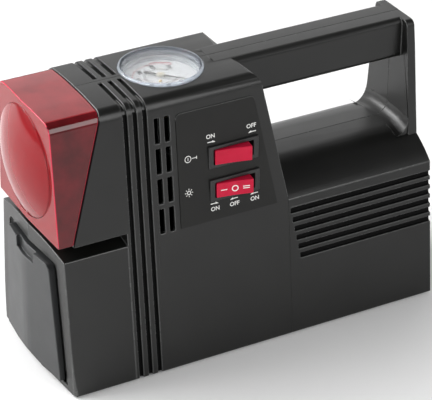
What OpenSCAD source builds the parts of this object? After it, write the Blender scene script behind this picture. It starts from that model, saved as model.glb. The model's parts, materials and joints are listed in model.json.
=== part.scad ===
// Portable 12 V air compressor with a pressure gauge, a red lamp and a storage door.
// Frame: lamp towards -X, handle towards +X, switch panel towards -Y, +Z up.
// Lengths in the sections below are measured from the lower box's front corner
// and from the bottom face of the shells.

/* [Body] */
// Length of the body from its lower front corner to its rear face
body_len = 250.5; // [246:0.5:262]
// Width across the bottom edges
base_w = 102.8; // [100:0.2:110]
// Height of the body
body_h = 177; // [175:0.5:182]
// Inward lean of each side wall, in degrees
side_lean = 5.14; // [4.6:0.02:5.6]
// Wall thickness of the two shells
wall = 2.5; // [2.2:0.1:2.8]
// Radius along the upper side edges
top_r = 8; // [6:0.5:10]
// How much lower the crowned top is where that radius starts
top_crown = 1; // [0.5:0.1:1.5]

/* [Lower box and slot] */
// Height of the ledge above the storage box, at the side walls
box_h = 89; // [88:0.5:90]
// Rise of the ledge towards the middle
ledge_crown = 5; // [3.5:0.1:5.5]
// How far the front face comes forward towards the middle
front_bow = 3; // [2:0.1:3.5]
// Radius of the lower box's front corners
corner_r = 3; // [2:0.5:4]
// Height of the slot between the ledge and the lamp block
slot_h = 8; // [7:0.5:9]
// Distance from the front corner to the rear end of the slot
slot_end = 41; // [39:0.5:42]
// Depth of the slot into each side
slot_depth = 12; // [8:0.5:14]

/* [Lamp block and rear] */
// Where the lamp's seat starts, at the slot
seat_foot_x = 6.6; // [5:0.2:9]
// Where the lamp's seat ends, at the top
seat_top_x = 30; // [27:0.5:33]
// Rear end of the block at the top
block_top_x = 134; // [132:0.5:137]
// Rear end of the block at the shelf
block_foot_x = 149; // [148:0.5:152]
// Height of the shelf below the handle, in the middle
shelf_h = 107; // [106:0.5:108]
// Radius of the shelf's crown
shelf_r = 35; // [33:0.5:38]

/* [Handle] */
// Width of the grip
grip_w = 26; // [24:0.5:28]
// Height of the grip's section
grip_h = 26.5; // [25:0.5:28]
// Radius along the grip's edges
grip_r = 4; // [3:0.5:6]
// Thickness of the rear post
post_t = 5.5; // [5:0.5:7]
// Width of the post at the top
post_top_w = 37.2; // [35:0.2:40]
// Radius between the shelf and the post
post_fillet = 9; // [7:0.5:11]

/* [Grooves and vents] */
// Start of the first upright groove
rib_x = 43.2; // [42.8:0.1:44]
// Pitch of the upright grooves
rib_pitch = 6.2; // [6:0.1:6.6]
// Width of an upright groove
rib_w = 2.6; // [2:0.1:3]
// Depth of every groove
groove_d = 1.8; // [1:0.1:1.8]
// Half of the land that the upright grooves leave along the top seam
seam_land = 3; // [2:0.5:4]
// Start of the first column of vent windows
vent_x = 62.5; // [61.6:0.1:63]
// Pitch of the vent columns
vent_pitch = 6.5; // [6:0.1:7]
// Width of a vent window
vent_w = 3.3; // [2.5:0.1:3.8]
// Lowest edge of the vent windows
vent_z = 91; // [90.5:0.5:92]
// Distance of the vents' upper edge below the top
vent_drop = 12.5; // [12:0.1:16]
// Bar left between two vent windows
vent_bar = 3.3; // [2.5:0.1:3.5]
// Top edge of the highest side groove
louvre_z = 84.4; // [83:0.2:85.4]
// Pitch of the side grooves
louvre_pitch = 6.25; // [6:0.05:6.5]
// Height of a side groove
louvre_h = 3.4; // [2.5:0.1:3.8]
// Front end of the highest side groove
louvre_x = 150.5; // [149:0.5:153]
// Step of the front end from one side groove to the next
louvre_step = 1.15; // [0.8:0.05:1.5]

/* [Lamp] */
// How far the lens stands before the lower front corner
lens_out = 2.6; // [2:0.1:3.5]
// How far the lens comes forward towards the middle
lens_bow = 1.1; // [0.8:0.1:2]
// Wall of the lens
lens_wall = 2.2; // [1.8:0.1:2.6]
// Gap between the lens and the slot's ceiling line
lens_lift = 1.4; // [1:0.1:2]
// Margin round the lens dome, above and below
dome_margin = 5.5; // [5:0.1:7]
// Height of the lens dome
dome_h = 8; // [6:0.5:9]
// How much smaller the reflector's radius is than the dome's
reflector_in = 2.2; // [1.8:0.1:3]
// Wall of the reflector
reflector_wall = 1.5; // [1.2:0.1:2]
// Depth of the reflector's bowl
reflector_depth = 20; // [18:0.5:22]
// Radius of the bulb's glass
bulb_r = 7.5; // [6:0.5:8.5]

/* [Gauge] */
// Centre of the gauge, from the front corner
gauge_x = 85.6; // [84:0.2:87]
// Outer radius of the gauge
gauge_r = 25.5; // [24.5:0.1:26]
// Height of the gauge's rim above the body
gauge_rim = 1; // [0.6:0.1:1.4]
// Depth of the dial below the rim
dial_depth = 8; // [7:0.2:9]
// Depth of the gauge's case below the dial
case_depth = 8; // [7:0.2:9]
// Wall of the clear cover
cover_wall = 1.8; // [1.5:0.1:2]
// Length of the needle's tip
needle_len = 16; // [14:0.5:18]
// Direction of the needle at rest, seen from above
needle_angle = -48; // [-70:1:-20]

/* [Switches] */
// Thickness of the panel plate
panel_t = 0.5; // [0.4:0.1:0.8]
// Front edge of the panel
panel_x = 76; // [75.8:0.1:77]
// Lowest edge of the panel
panel_z = 91.2; // [90.6:0.2:92]
// Distance of the panel's upper edge below the top
panel_drop = 12.8; // [12:0.2:15]
// Rear end of the panel at its foot
panel_foot_x = 141; // [139:0.5:142]
// Rear end of the panel at its top
panel_top_x = 128.2; // [127:0.2:129]
// Width of a switch bezel
bezel_w = 33.2; // [32.6:0.2:34]
// Height of a switch bezel
bezel_h = 14.4; // [14.2:0.1:15]
// Depth of a switch's bezel
bezel_t = 5; // [4.5:0.1:5.5]
// Depth of a switch's body
switch_d = 18; // [16:0.5:20]
// How much shorter a switch's body is than its bezel
switch_short = 3.6; // [3.2:0.1:4]
// How far a switch's body is inside its bezel, above and below
switch_in = 0.6; // [0.5:0.05:0.7]
// Centre of the switches, from the front corner
switch_x = 112.5; // [111.5:0.5:113.5]
// Centre height of the compressor switch
comp_switch_z = 131.8; // [131:0.2:133]
// Centre height of the light switch
light_switch_z = 110.6; // [110:0.2:111.5]
// Length of a rocker
rocker_l = 22.8; // [22:0.1:23.4]
// Height of a rocker
rocker_h = 9.6; // [9:0.1:9.8]
// Tilt of a rocker from its middle position, in degrees
rocker_tilt = 12; // [9:0.5:12]

/* [Storage] */
// Half width of the door at its top
door_top_hw = 29.8; // [29.4:0.2:31]
// Half width of the door at its foot
door_foot_hw = 38; // [37:0.5:38.5]
// Lowest edge of the door
door_z = 5; // [4.8:0.1:5.2]
// Highest edge of the door
door_top = 81; // [79.5:0.5:81]
// Radius of the door's upper corners
door_r = 5; // [4:0.5:7]
// How far the middle of the door stands before the front corner
door_out = 7.2; // [6.8:0.1:7.4]
// How far the door falls back towards its sides
door_bow = 4.4; // [4:0.1:5]
// Thickness of the door's skin
door_t = 2.2; // [2:0.1:2.4]
// Width of the finger notch
notch_w = 23; // [20:0.5:25]
// Height of the finger notch
notch_h = 7; // [6:0.5:8]
// Depth of the finger notch's face behind the door's face
notch_d = 2.5; // [2:0.1:3]
// Width of the sunk margin round the door
margin_w = 4; // [3:0.5:5]
// Depth of that margin behind the front corner
margin_d = 0.6; // [0.4:0.1:1]
// Depth of the pocket behind the door
pocket_d = 4; // [3.6:0.1:4.4]
// Half width of the storage tub
tub_hw = 26; // [24:0.5:27]
// Rear end of the storage tub
tub_end = 78; // [74:0.5:80]
// Wall of the storage tub
tub_wall = 1.8; // [1.5:0.1:2]
// Radius of the door's hinge pin
hinge_r = 1.25; // [1:0.05:1.4]

/* [Compressor] */
// Height of the motor and gear axes
drive_z = 32; // [31:0.5:33]
// Sideways place of the gear and the cylinder
gear_y = -12; // [-13:0.5:-11]
// Radius of the motor can
motor_r = 18.5; // [18:0.1:19]
// Length of the motor can
motor_l = 57; // [52:0.5:58]
// Distance from the frame plate's front to the body's rear face
plate_back = 84.5; // [83.5:0.5:85.5]
// Thickness of the frame plate
plate_t = 4; // [3.5:0.1:4.5]
// Module of the gear teeth
tooth_m = 0.9; // [0.86:0.01:0.92]
// Width of the gear's teeth
gear_t = 7; // [6:0.5:7]
// Throw of the crank
crank_r = 8; // [7:0.5:8.5]
// Radius of the cylinder's bore
bore_r = 11; // [10.5:0.1:11.4]
// Wall of the cylinder
cylinder_wall = 3; // [2.6:0.1:3.2]
// Length of the connecting rod
rod_l = 42; // [41:0.5:42]
// Radius of the air pipe
pipe_r = 2.2; // [1.8:0.1:2.6]

/* [Screws and feet] */
// Outer radius of a screw boss
boss_r = 4; // [3.6:0.1:4.2]
// Distance of the rear bosses before the rear face
boss_back = 10.5; // [10:0.5:12]
// Distance of the highest boss below the top, and of another behind the tub
boss_drop = 12; // [11:0.5:13]
// How far a screw reaches from the seam
screw_reach = 12; // [10:0.5:13]
// Radius of a housing screw
screw_r = 1.75; // [1.5:0.05:1.9]
// Radius of a screw head
head_r = 3.4; // [3:0.1:3.5]
// Radius of a rubber foot
foot_r = 6; // [5:0.5:8]
// Height of a rubber foot
foot_h = 1.2; // [1:0.1:2]

/* [Fits] */
// Gap round a shaft that turns in its hole
run_gap = 0.05; // [0.02:0.01:0.09]
// Gap round a fixed piece in its seat
seat_gap = 0.15; // [0.1:0.05:0.3]
// Gap beside a piece that moves
move_gap = 0.3; // [0.25:0.05:0.5]

/* [Hidden] */
$fn = 64;

lean = tan(side_lean);
slant = sqrt(1 + lean * lean);
seat_slope = (seat_top_x - seat_foot_x) / (body_h - box_h - slot_h);
slot_top = box_h + slot_h;
vent_h = (body_h - vent_drop - vent_z - 3 * vent_bar) / 4;
lamp_z = (slot_top + body_h) / 2;
dome_r = (body_h - slot_top) / 2 - dome_margin;
reflector_r = dome_r - reflector_in;
panel_top = body_h - panel_drop;
lens_front = lens_out + lens_bow + dome_h;
shift_x = (lens_front - body_len) / 2;
shelf_flat = grip_w / 2;
gear_teeth = 48;
pinion_teeth = 10;
gear_pr = tooth_m * gear_teeth / 2;
pinion_pr = tooth_m * pinion_teeth / 2;
motor_y = gear_y + gear_pr + pinion_pr;
plate_x = body_len - plate_back;
gear_x = plate_x - 1 - gear_t;
cylinder_x = gear_x - 9.5;
rod_t = 5;
ring_z = drive_z + gear_pr + 2.9;
ring_t = 5;
head_z = drive_z - crank_r + rod_l + 2 * crank_r + 10;
head_t = 7;
bolt_off = bore_r + 1;
head_hw = bolt_off + 3;
nipple_l = 6;
ring_hw = head_hw + 1;
hinge_x = -2.2;
hinge_z = door_z + 4.5;
floor_z = wall;
foot_sweep = 5.6;
foot_floor_z = hinge_z - foot_sweep - move_gap;
tub_z = hinge_z + 4.5;
tub_top = door_top - 7;
flange_t = 2;
dial_z = body_h + gauge_rim - dial_depth;
case_z = dial_z - case_depth;
spindle_r = 0.8;
reflector_x = seat_foot_x + (lamp_z + reflector_r - slot_top) * seat_slope + 1;
holder_x = reflector_x + reflector_depth;
// Distances of a rocker's pivot behind the bezel and of its face before the pivot
pivot_back = 5;
rocker_out = 8.4;
body_w = bezel_w - switch_short;
// Heights of the crank pin and the wrist pin at the bottom of the stroke
pin_z = drive_z - crank_r;
wrist_z = pin_z + rod_l;
// Places of the two pairs of hinge knuckles, and of the holes in the tub's rear wall
lug_y = 15.5;
knuckle_y = 23;
cord_y = 10;
outlet_z = tub_top - 14;
outlet_r = 5;
bend_x = 12;
cord_r = 4;
// Motor shaft, the screws at its front, and the gear's shaft
shaft_r = 1.6;
motor_bolt = 12.5;
small_r = 1.5;
gear_shaft_r = 3;
bush_r = 5;
crank_pin_r = 2.5;
wrist_pin_r = 1.8;
// Each boss: place along X, height, and how far its screw reaches from the seam
bosses = [[tub_end + boss_drop, boss_r + 5, screw_reach],
    [body_len - boss_back, boss_r + 5, screw_reach],
    [body_len - boss_back, box_h - 5, screw_reach],
    [block_top_x - 10, comp_switch_z + bezel_h / 2 + boss_r + 9, screw_reach],
    [slot_end + 6, body_h - boss_drop, screw_reach],
    [cylinder_x - bore_r - cylinder_wall - boss_r - 12.5, box_h - 14, screw_reach],
    [(block_foot_x + body_len) / 2 - 9.75, body_h - grip_h / 2, grip_w * 0.27]];

// Half width of the body at a height, less a wall of the given thickness
function half_w(z, inset = 0) = base_w / 2 - lean * z - inset * slant;
function arc(cx, cy, r, a0, a1, n) =
    [for (i = [0:n]) let (a = a0 + (a1 - a0) * i / n) [cx + r * cos(a), cy + r * sin(a)]];
function mirrored(pts) = [for (i = [len(pts) - 1:-1:0]) [-pts[i][0], pts[i][1]]];
function seat_x(z) = seat_foot_x + (z - slot_top) * seat_slope;

// Cross section of the block: leaning sides, rounded edges and a crowned top
function block_half(inset, low) =
    let (r = top_r - inset, zc = body_h - top_crown - top_r, yc = half_w(zc) - top_r * slant)
    concat([[half_w(low, inset), low]], arc(yc, zc, r, side_lean, 86, 8),
        [for (i = [4:-1:1]) let (y = yc * i / 5) [y, body_h - inset - top_crown * pow(i / 5, 2)]]);
function block_section(inset, low) =
    let (h = block_half(inset, low)) concat(h, [[0, body_h - inset]], mirrored(h));

// Cross section of the rear box: leaning sides and the shelf's crown
function shelf_half(inset, low) =
    let (r = shelf_r - inset, zc = shelf_h - shelf_r,
        edge = acos((half_w(shelf_h - 16) - shelf_flat) / shelf_r))
    concat([[half_w(low, inset), low]],
        [for (p = arc(shelf_flat, zc, r, edge, 90, 10))
            if (p[0] < half_w(p[1], inset)) p]);
function shelf_section(inset, low) = let (h = shelf_half(inset, low)) concat(h, mirrored(h));

// Extrudes an outline of Y and Z along X
module along_x(x0, x1, pts) {
    translate([x0, 0, 0]) rotate([90, 0, 90]) linear_extrude(x1 - x0) polygon(pts);
}

// Extrudes an outline of X and Z across the whole width
module across(pts, w = 140) {
    rotate([90, 0, 0]) linear_extrude(w, center = true) polygon(pts);
}

// A cylinder along X, and one across the body
module x_cyl(x0, x1, y, z, r) translate([x0, y, z]) rotate([0, 90, 0]) cylinder(h = x1 - x0, r = r);
module y_cyl(x, y0, y1, z, r) translate([x, y1, z]) rotate([90, 0, 0]) cylinder(h = y1 - y0, r = r);
module bar(x0, x1, y0, y1, z0, z1) translate([x0, y0, z0]) cube([x1 - x0, y1 - y0, z1 - z0]);

// A round bar between two points, with a slightly larger ball at each end
module rod_between(p, q, r) {
    d = q - p;
    l = norm(d);
    translate(p) rotate([0, acos(d[2] / l), atan2(d[1], d[0])]) cylinder(h = l, r = r);
    translate(p) sphere(r * 1.15);
    translate(q) sphere(r * 1.15);
}

// Moves the model from the lower front corner to the part's origin
module place() translate([shift_x, 0, foot_h]) children();

// A plan whose two front faces meet in the middle, with rounded corners
module box_plan(bow, front, back, hw, r) {
    polygon(concat([[back, -hw]], arc(front + r, -hw + r, r, 270, 190, 4), [[front - bow, 0]],
        arc(front + r, hw - r, r, 170, 90, 4), [[back, hw]]));
}

module front_box() {
    hw = half_w(0);
    intersection() {
        along_x(-10, slot_end + 15, concat([[-hw, 0]], [for (i = [-6:6]) let (t = i / 6)
            [half_w(box_h) * t, box_h + ledge_crown * (1 - t * t)]], [[hw, 0]]));
        linear_extrude(body_h) box_plan(front_bow, 0, slot_end + 15, hw, corner_r);
    }
}

module block(inset) {
    foot = inset > 0 ? wall : 0;
    intersection() {
        across(concat([[slot_end + inset, foot], [slot_end + inset, slot_top + inset],
            [seat_x(slot_top + inset) + inset * 1.05, slot_top + inset],
            [seat_x(body_h) + inset * 1.05, body_h]],
            arc(block_top_x - 9, body_h - 9, 9 - inset, 90, 11, 6),
            [[block_foot_x - inset, shelf_h - 14], [block_foot_x - inset, foot]]));
        along_x(0, body_len, block_section(inset, foot));
    }
}

module rear_box(inset) {
    foot = inset > 0 ? wall : 0;
    along_x(block_top_x + 6, body_len - inset, shelf_section(inset, foot));
}

module neck(inset) {
    bar(slot_depth + 4 + inset, slot_end + 8, -half_w(box_h) + slot_depth + inset,
        half_w(box_h) - slot_depth - inset, box_h - 8, slot_top + 6);
}

module grip(inset) {
    hw = grip_w / 2 - inset;
    z0 = body_h - grip_h + inset;
    z1 = body_h - inset;
    r = grip_r - inset;
    along_x(block_top_x - 18 + 4 * inset, body_len - post_t + (inset > 0 ? -1 : 1),
        concat(arc(hw - r, z0 + r, r, -90, 0, 4), arc(hw - r, z1 - r, r, 0, 90, 4),
            arc(r - hw, z1 - r, r, 90, 180, 4), arc(r - hw, z0 + r, r, 180, 270, 4)));
}

// The upright plate behind the handle, and the fillet at its foot
module post() {
    hw = post_top_w / 2;
    foot = hw + lean * (body_h - shelf_h + 6) * 1.2;
    x0 = body_len - post_t;
    along_x(x0, body_len, concat([[foot, shelf_h - 6]], arc(hw - 4, body_h - 4, 4, 0, 90, 5),
        arc(4 - hw, body_h - 4, 4, 90, 180, 5), [[-foot, shelf_h - 6]]));
    intersection() {
        across(concat([[x0 + 1, shelf_h - 8], [x0 + 1, shelf_h + post_fillet]],
            arc(x0 - post_fillet, shelf_h + post_fillet, post_fillet, 0, -90, 8),
            [[x0 - post_fillet, shelf_h - 8]]));
        along_x(x0 - 20, body_len, [[foot - 1, shelf_h - 6], [foot - 3, shelf_h + 12],
            [3 - foot, shelf_h + 12], [1 - foot, shelf_h - 6]]);
    }
}

// Skin-deep cut between the body's surface and one groove's depth below it
module skin(x0, x1) {
    difference() {
        bar(x0, x1, -70, 70, -1, body_h + 5);
        along_x(x0 - 1, x1 + 1, block_section(groove_d, -2));
    }
}

module upright_grooves() {
    for (i = [0:2])
        difference() {
            skin(rib_x + i * rib_pitch, rib_x + i * rib_pitch + rib_w);
            bar(0, 80, -seam_land, seam_land, body_h - 10, body_h + 6);
        }
}

module side_grooves() {
    for (i = [0:5])
        intersection() {
            skin(louvre_x + i * louvre_step, body_len + 1);
            bar(0, body_len + 2, -80, 80, louvre_z - i * louvre_pitch - louvre_h,
                louvre_z - i * louvre_pitch);
        }
}

module vent_windows() {
    for (c = [0:1], r = [0:3], s = [-1, 1])
        bar(vent_x + c * vent_pitch, vent_x + c * vent_pitch + vent_w, s * 57 - 24, s * 57 + 24,
            vent_z + r * (vent_h + vent_bar), vent_z + r * (vent_h + vent_bar) + vent_h);
}

// Outline of the door, grown on every side but its foot
module door_outline(grow, foot) {
    slope = (door_foot_hw - door_top_hw) / (door_top - door_z);
    top = door_top + grow / 2;
    hw = door_top_hw + grow;
    foot_hw = hw + slope * (top - foot);
    r = door_r;
    polygon(concat([[foot_hw, foot]], arc(hw - r, top - r, r, 5, 90, 6),
        arc(r - hw, top - r, r, 90, 175, 6), [[-foot_hw, foot]]));
}

// Everything before one depth inside the door's outline
module door_cut(depth, grow) {
    translate([-20, 0, 0]) rotate([90, 0, 90]) linear_extrude(20 + depth)
        door_outline(grow, foot_floor_z);
}

module door_recess() {
    door_cut(margin_d, margin_w);
    door_cut(pocket_d, -1.2);
    // room for the foot of the door as it swings
    bar(-20, hinge_x + foot_sweep, -door_foot_hw - move_gap, door_foot_hw + move_gap,
        foot_floor_z, hinge_z + 3);
    bar(0, pocket_d + 10, -tub_hw - seat_gap, tub_hw + seat_gap, tub_z - seat_gap,
        tub_top + seat_gap);
}

module hinge_lugs() {
    for (s = [-1, 1])
        difference() {
            union() {
                bar(hinge_x, pocket_d + 3, s * lug_y - 3.5, s * lug_y + 3.5, hinge_z - 2.6,
                    hinge_z + 2.6);
                y_cyl(hinge_x, s * lug_y - 3.5, s * lug_y + 3.5, hinge_z, 2.6);
            }
            y_cyl(hinge_x, -30, 30, hinge_z, hinge_r + run_gap);
        }
}

module gauge_well(hollow) {
    r = gauge_r + seat_gap;
    if (hollow) {
        translate([gauge_x, 0, case_z]) cylinder(h = 40, r = r);
        translate([gauge_x, 0, case_z - 5]) cylinder(h = 10, r = gauge_r - 5);
    } else {
        translate([gauge_x, 0, case_z - wall]) cylinder(h = body_h - case_z + wall / 2, r = r + 2);
    }
}

module reflector_hole() x_cyl(0, 60, 0, lamp_z, reflector_r + move_gap);

module boss_posts(seam_side) {
    for (b = bosses) {
        reach = b[2] < screw_reach ? grip_w / 2 - 1 : half_w(b[1]) - 1;
        y_cyl(b[0], seam_side > 0 ? 0 : -reach, seam_side > 0 ? reach : 0, b[1], boss_r);
    }
}

module boss_holes() {
    for (b = bosses) {
        y_cyl(b[0], -b[2] - 1, b[2] + 1, b[1], screw_r + run_gap);
        y_cyl(b[0], b[2], 80, b[1], head_r + seat_gap);
    }
}

module switch_holes() {
    for (z = [comp_switch_z, light_switch_z])
        bar(switch_x - bezel_w / 2 - seat_gap, switch_x + bezel_w / 2 + seat_gap, -80, -20,
            z - bezel_h / 2 - seat_gap, z + bezel_h / 2 + seat_gap);
}

// The closed outer form of the body, and its cavity
module outer_form() {
    front_box();
    block(0);
    rear_box(0);
    neck(0);
    grip(0);
    post();
}

module cavity() {
    intersection() {
        bar(pocket_d + 3, slot_end + 20, -60, 60, wall, box_h - wall);
        along_x(0, 80, block_section(wall, wall));
    }
    block(wall);
    rear_box(wall);
    neck(wall);
    grip(wall);
}

module shell(side) {
    difference() {
        union() {
            intersection() {
                union() {
                    difference() {
                        outer_form();
                        cavity();
                    }
                    gauge_well(false);
                    hinge_lugs_root();
                }
                bar(-20, body_len + 5, side > 0 ? 0 : -80, side > 0 ? 80 : 0, -5, body_h + 10);
            }
            boss_posts(side);
        }
        gauge_well(true);
        reflector_hole();
        door_recess();
        upright_grooves();
        side_grooves();
        vent_windows();
        boss_holes();
        if (side < 0) switch_holes();
    }
    intersection() {
        hinge_lugs();
        bar(-20, 20, side > 0 ? 0 : -80, side > 0 ? 80 : 0, 0, 40);
    }
}

// Pads behind the pocket's floor that the hinge lugs grow from
module hinge_lugs_root() {
    for (s = [-1, 1])
        bar(pocket_d, pocket_d + 3.5, s * lug_y - 3.5, s * lug_y + 3.5, hinge_z - 2.6, hinge_z + 2.6);
}

module near_shell() color([0.16, 0.16, 0.15]) shell(-1);
module far_shell() color([0.2, 0.2, 0.19]) shell(1);

module housing_screws() color("silver") {
    for (b = bosses)
        difference() {
            union() {
                y_cyl(b[0], -b[2], b[2] + 1, b[1], screw_r);
                y_cyl(b[0], b[2], b[2] + 2.4, b[1], head_r);
            }
            bar(b[0] - 2.4, b[0] + 2.4, b[2] + 1.4, b[2] + 4, b[1] - 0.5, b[1] + 0.5);
            bar(b[0] - 0.5, b[0] + 0.5, b[2] + 1.4, b[2] + 4, b[1] - 2.4, b[1] + 2.4);
        }
}

module rubber_feet() color([0.08, 0.08, 0.08]) {
    for (x = [foot_r * 3, body_len - foot_r * 2.5], s = [-1, 1])
        translate([x, s * (half_w(0) - foot_r * 2), -foot_h]) cylinder(h = foot_h, r = foot_r);
}

// Solid of the lens, drawn in by the given wall
module lens_form(inset) {
    low = slot_top + lens_lift + inset;
    high = body_h - 1 - inset;
    intersection() {
        across([[inset - lens_out - lens_bow, low], [seat_x(low) + inset * 2, low],
            [seat_x(high) + inset * 2, high], [inset - lens_out - lens_bow, high]]);
        along_x(-20, seat_top_x + 10, block_section(inset + 0.8, low - 2));
        translate([0, 0, low - 5]) linear_extrude(body_h)
            box_plan(lens_bow, inset - lens_out, seat_top_x + 10, half_w(low, inset), 2);
    }
}

module lens_dome(inset) {
    ball_r = (dome_r * dome_r + dome_h * dome_h) / (2 * dome_h);
    x0 = -lens_front;
    intersection() {
        x_cyl(x0 - 1, 4, 0, lamp_z, dome_r - inset * 1.2);
        translate([x0 + ball_r, 0, lamp_z]) sphere(ball_r - inset, $fn = 128);
    }
}

module lamp_lens() color([0.75, 0.1, 0.15, 0.7]) {
    difference() {
        union() {
            lens_form(0);
            lens_dome(0);
        }
        lens_form(lens_wall);
        lens_dome(lens_wall);
        // the lens ends on the block's leaning face
        across([[seat_x(0), 0], [seat_x(body_h + 20), body_h + 20], [body_len, body_h + 20],
            [body_len, 0]]);
    }
}

// Solid bowl along the lamp's axis, from a rim of one radius to a foot of another
module bowl(rim_r, foot_r, depth, n = 10) {
    rotate_extrude() polygon(concat([[0, 0]],
        [for (i = [0:n]) let (t = i / n) [foot_r + (rim_r - foot_r) * sqrt(1 - t), t * depth]],
        [[0, depth]]));
}

module lamp_reflector() color([0.85, 0.85, 0.87]) {
    r = reflector_r;
    w = reflector_wall;
    straight = seat_slope * 2 * r + 2;
    difference() {
        translate([reflector_x, 0, lamp_z]) rotate([0, 90, 0]) difference() {
            union() {
                bowl(r, 8.2, reflector_depth);
                translate([0, 0, -straight]) cylinder(h = straight, r = r);
            }
            bowl(r - w, 6.2, reflector_depth - w);
            translate([0, 0, -straight - 1]) cylinder(h = straight + 1.1, r = r - w);
            cylinder(h = reflector_depth + 2, r = 6.2);
        }
        // the rim ends just behind the block's leaning face
        across([[seat_x(0) + 1, 0], [seat_x(body_h) + 1, body_h], [-50, body_h], [-50, 0]]);
    }
}

module lamp_bulb() color([0.9, 0.9, 0.85, 0.6]) {
    translate([holder_x - 8, 0, lamp_z]) sphere(bulb_r);
    x_cyl(holder_x - 8, holder_x + 8, 0, lamp_z, 4.5);
}

module bulb_holder() color([0.15, 0.15, 0.15]) {
    difference() {
        union() {
            x_cyl(holder_x + 0.1, holder_x + 12, 0, lamp_z, 7.6);
            x_cyl(holder_x - 0.8, holder_x + 1, 0, lamp_z, 6);
        }
        x_cyl(holder_x - 2, holder_x + 8.1, 0, lamp_z, 4.5 + run_gap);
    }
}

module flasher_board() {
    x = holder_x + 12.1;
    color([0.1, 0.4, 0.2]) bar(x, x + 1.6, -18, 18, lamp_z - 14, lamp_z + 14);
    color([0.1, 0.1, 0.1]) {
        bar(x + 1.6, x + 5, -12, -2, lamp_z - 8, lamp_z + 6);
        x_cyl(x + 1.6, x + 7.5, 8, lamp_z + 4, 3.2);
        x_cyl(x + 1.6, x + 7.5, 8, lamp_z - 6, 2.6);
    }
}

module gauge_cover() color([0.9, 0.95, 1, 0.35]) {
    h = dial_depth;
    translate([gauge_x, 0, dial_z]) difference() {
        cylinder(h = h, r = gauge_r);
        translate([0, 0, -1]) cylinder(h = h - 0.5, r = gauge_r - cover_wall);
    }
}

module gauge_case() color([0.12, 0.12, 0.12]) {
    translate([gauge_x, 0, case_z]) difference() {
        cylinder(h = case_depth - 0.6, r = gauge_r);
        translate([0, 0, 1.8]) cylinder(h = case_depth, r = gauge_r - 2);
        translate([0, 0, -1]) cylinder(h = 5, r = 4 + run_gap);
    }
}

module gauge_dial() color("white") {
    translate([gauge_x, 0, dial_z - 0.6]) difference() {
        cylinder(h = 0.6, r = gauge_r);
        translate([0, 0, -1]) cylinder(h = 3, r = spindle_r + run_gap);
    }
}

module gauge_needle() color([0.1, 0.1, 0.1]) {
    translate([gauge_x, 0, dial_z]) {
        translate([0, 0, -2]) cylinder(h = 3.6, r = spindle_r);
        translate([0, 0, 0.8]) cylinder(h = 1.4, r = 2.4);
        rotate([0, 0, needle_angle]) translate([0, 0, 1]) linear_extrude(0.5)
            polygon([[needle_len, 0], [0, 0.9], [-9, 1.5], [-10, 0], [-9, -1.5], [0, -0.9]]);
    }
}

module bourdon_tube() color([0.75, 0.6, 0.3]) {
    translate([gauge_x, 0, case_z + 4]) rotate([0, 0, 120])
        rotate_extrude(angle = 270) translate([16, 0]) square([1.6, 3.2], center = true);
    translate([gauge_x, 0, case_z + 4]) rotate([0, 0, 120]) bar(5, 16, -1.2, 1.2, -1.6, 1.6);
}

module gauge_stem() color([0.8, 0.65, 0.3]) {
    translate([gauge_x, 0, 0]) {
        translate([0, 0, case_z - 18]) cylinder(h = 23.6, r = 4);
        translate([0, 0, case_z + 2]) cylinder(h = 3.6, r = 4.9);
        translate([0, 0, case_z - 12]) cylinder(h = 6, r = 6.5, $fn = 6);
    }
}

// The leaning plate on the near wall, with the two switches let through
module switch_panel() color([0.2, 0.2, 0.19]) {
    difference() {
        intersection() {
            across(concat([[panel_x, panel_z]], arc(panel_x + 3, panel_top - 3, 3, 180, 90, 4),
                arc(panel_top_x - 3, panel_top - 3, 3, 90, 10, 4), [[panel_foot_x, panel_z]]));
            along_x(50, 160, [[-half_w(80, -panel_t), 80], [-half_w(80), 80],
                [-half_w(166), 166], [-half_w(166, -panel_t), 166]]);
        }
        switch_holes();
    }
}

// Outer face of a switch whose bezel meets the wall at its foot
function switch_face(z) = -half_w(z - bezel_h / 2) - 0.9;

module rocker_switch(z) {
    y = switch_face(z);
    color([0.1, 0.1, 0.1]) difference() {
        union() {
            bar(switch_x - bezel_w / 2, switch_x + bezel_w / 2, y, y + bezel_t, z - bezel_h / 2,
                z + bezel_h / 2);
            bar(switch_x - body_w / 2, switch_x + body_w / 2, y, y + switch_d,
                z - bezel_h / 2 + switch_in, z + bezel_h / 2 - switch_in);
        }
        bar(switch_x - body_w / 2 + 1.5, switch_x + body_w / 2 - 1.5, y - 1, y + switch_d - 2,
            z - rocker_h / 2 - move_gap,
            z + rocker_h / 2 + move_gap);
        translate([switch_x, y + pivot_back, z - 8]) cylinder(h = 16, r = 1.5 + run_gap);
    }
}

module rocker(z) {
    translate([switch_x, switch_face(z) + pivot_back, z]) rotate([0, 0, -rocker_tilt])
    color([0.8, 0.1, 0.2]) {
        translate([0, 0, -rocker_h / 2]) linear_extrude(rocker_h)
            polygon([[-rocker_l / 2, -rocker_out], [0, 0.5 - rocker_out],
                [rocker_l / 2, -rocker_out], [rocker_l / 2 - 0.5, -2], [2.5, 3.5], [-2.5, 3.5],
                [0.5 - rocker_l / 2, -2]]);
        translate([0, 0, -6.4]) cylinder(h = 12.8, r = 1.5);
    }
}

module compressor_switch() rocker_switch(comp_switch_z);
module light_switch() rocker_switch(light_switch_z);
module compressor_rocker() rocker(comp_switch_z);
module light_rocker() rocker(light_switch_z);

module switch_terminals() color([0.8, 0.65, 0.3]) {
    for (s = [[comp_switch_z, 2], [light_switch_z, 3]], i = [0:s[1] - 1])
        bar(switch_x + (i - (s[1] - 1) / 2) * 9 - 2.4, switch_x + (i - (s[1] - 1) / 2) * 9 + 2.4,
            switch_face(s[0]) + switch_d, switch_face(s[0]) + switch_d + 7, s[0] - 0.4,
            s[0] + 0.4);
}

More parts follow.
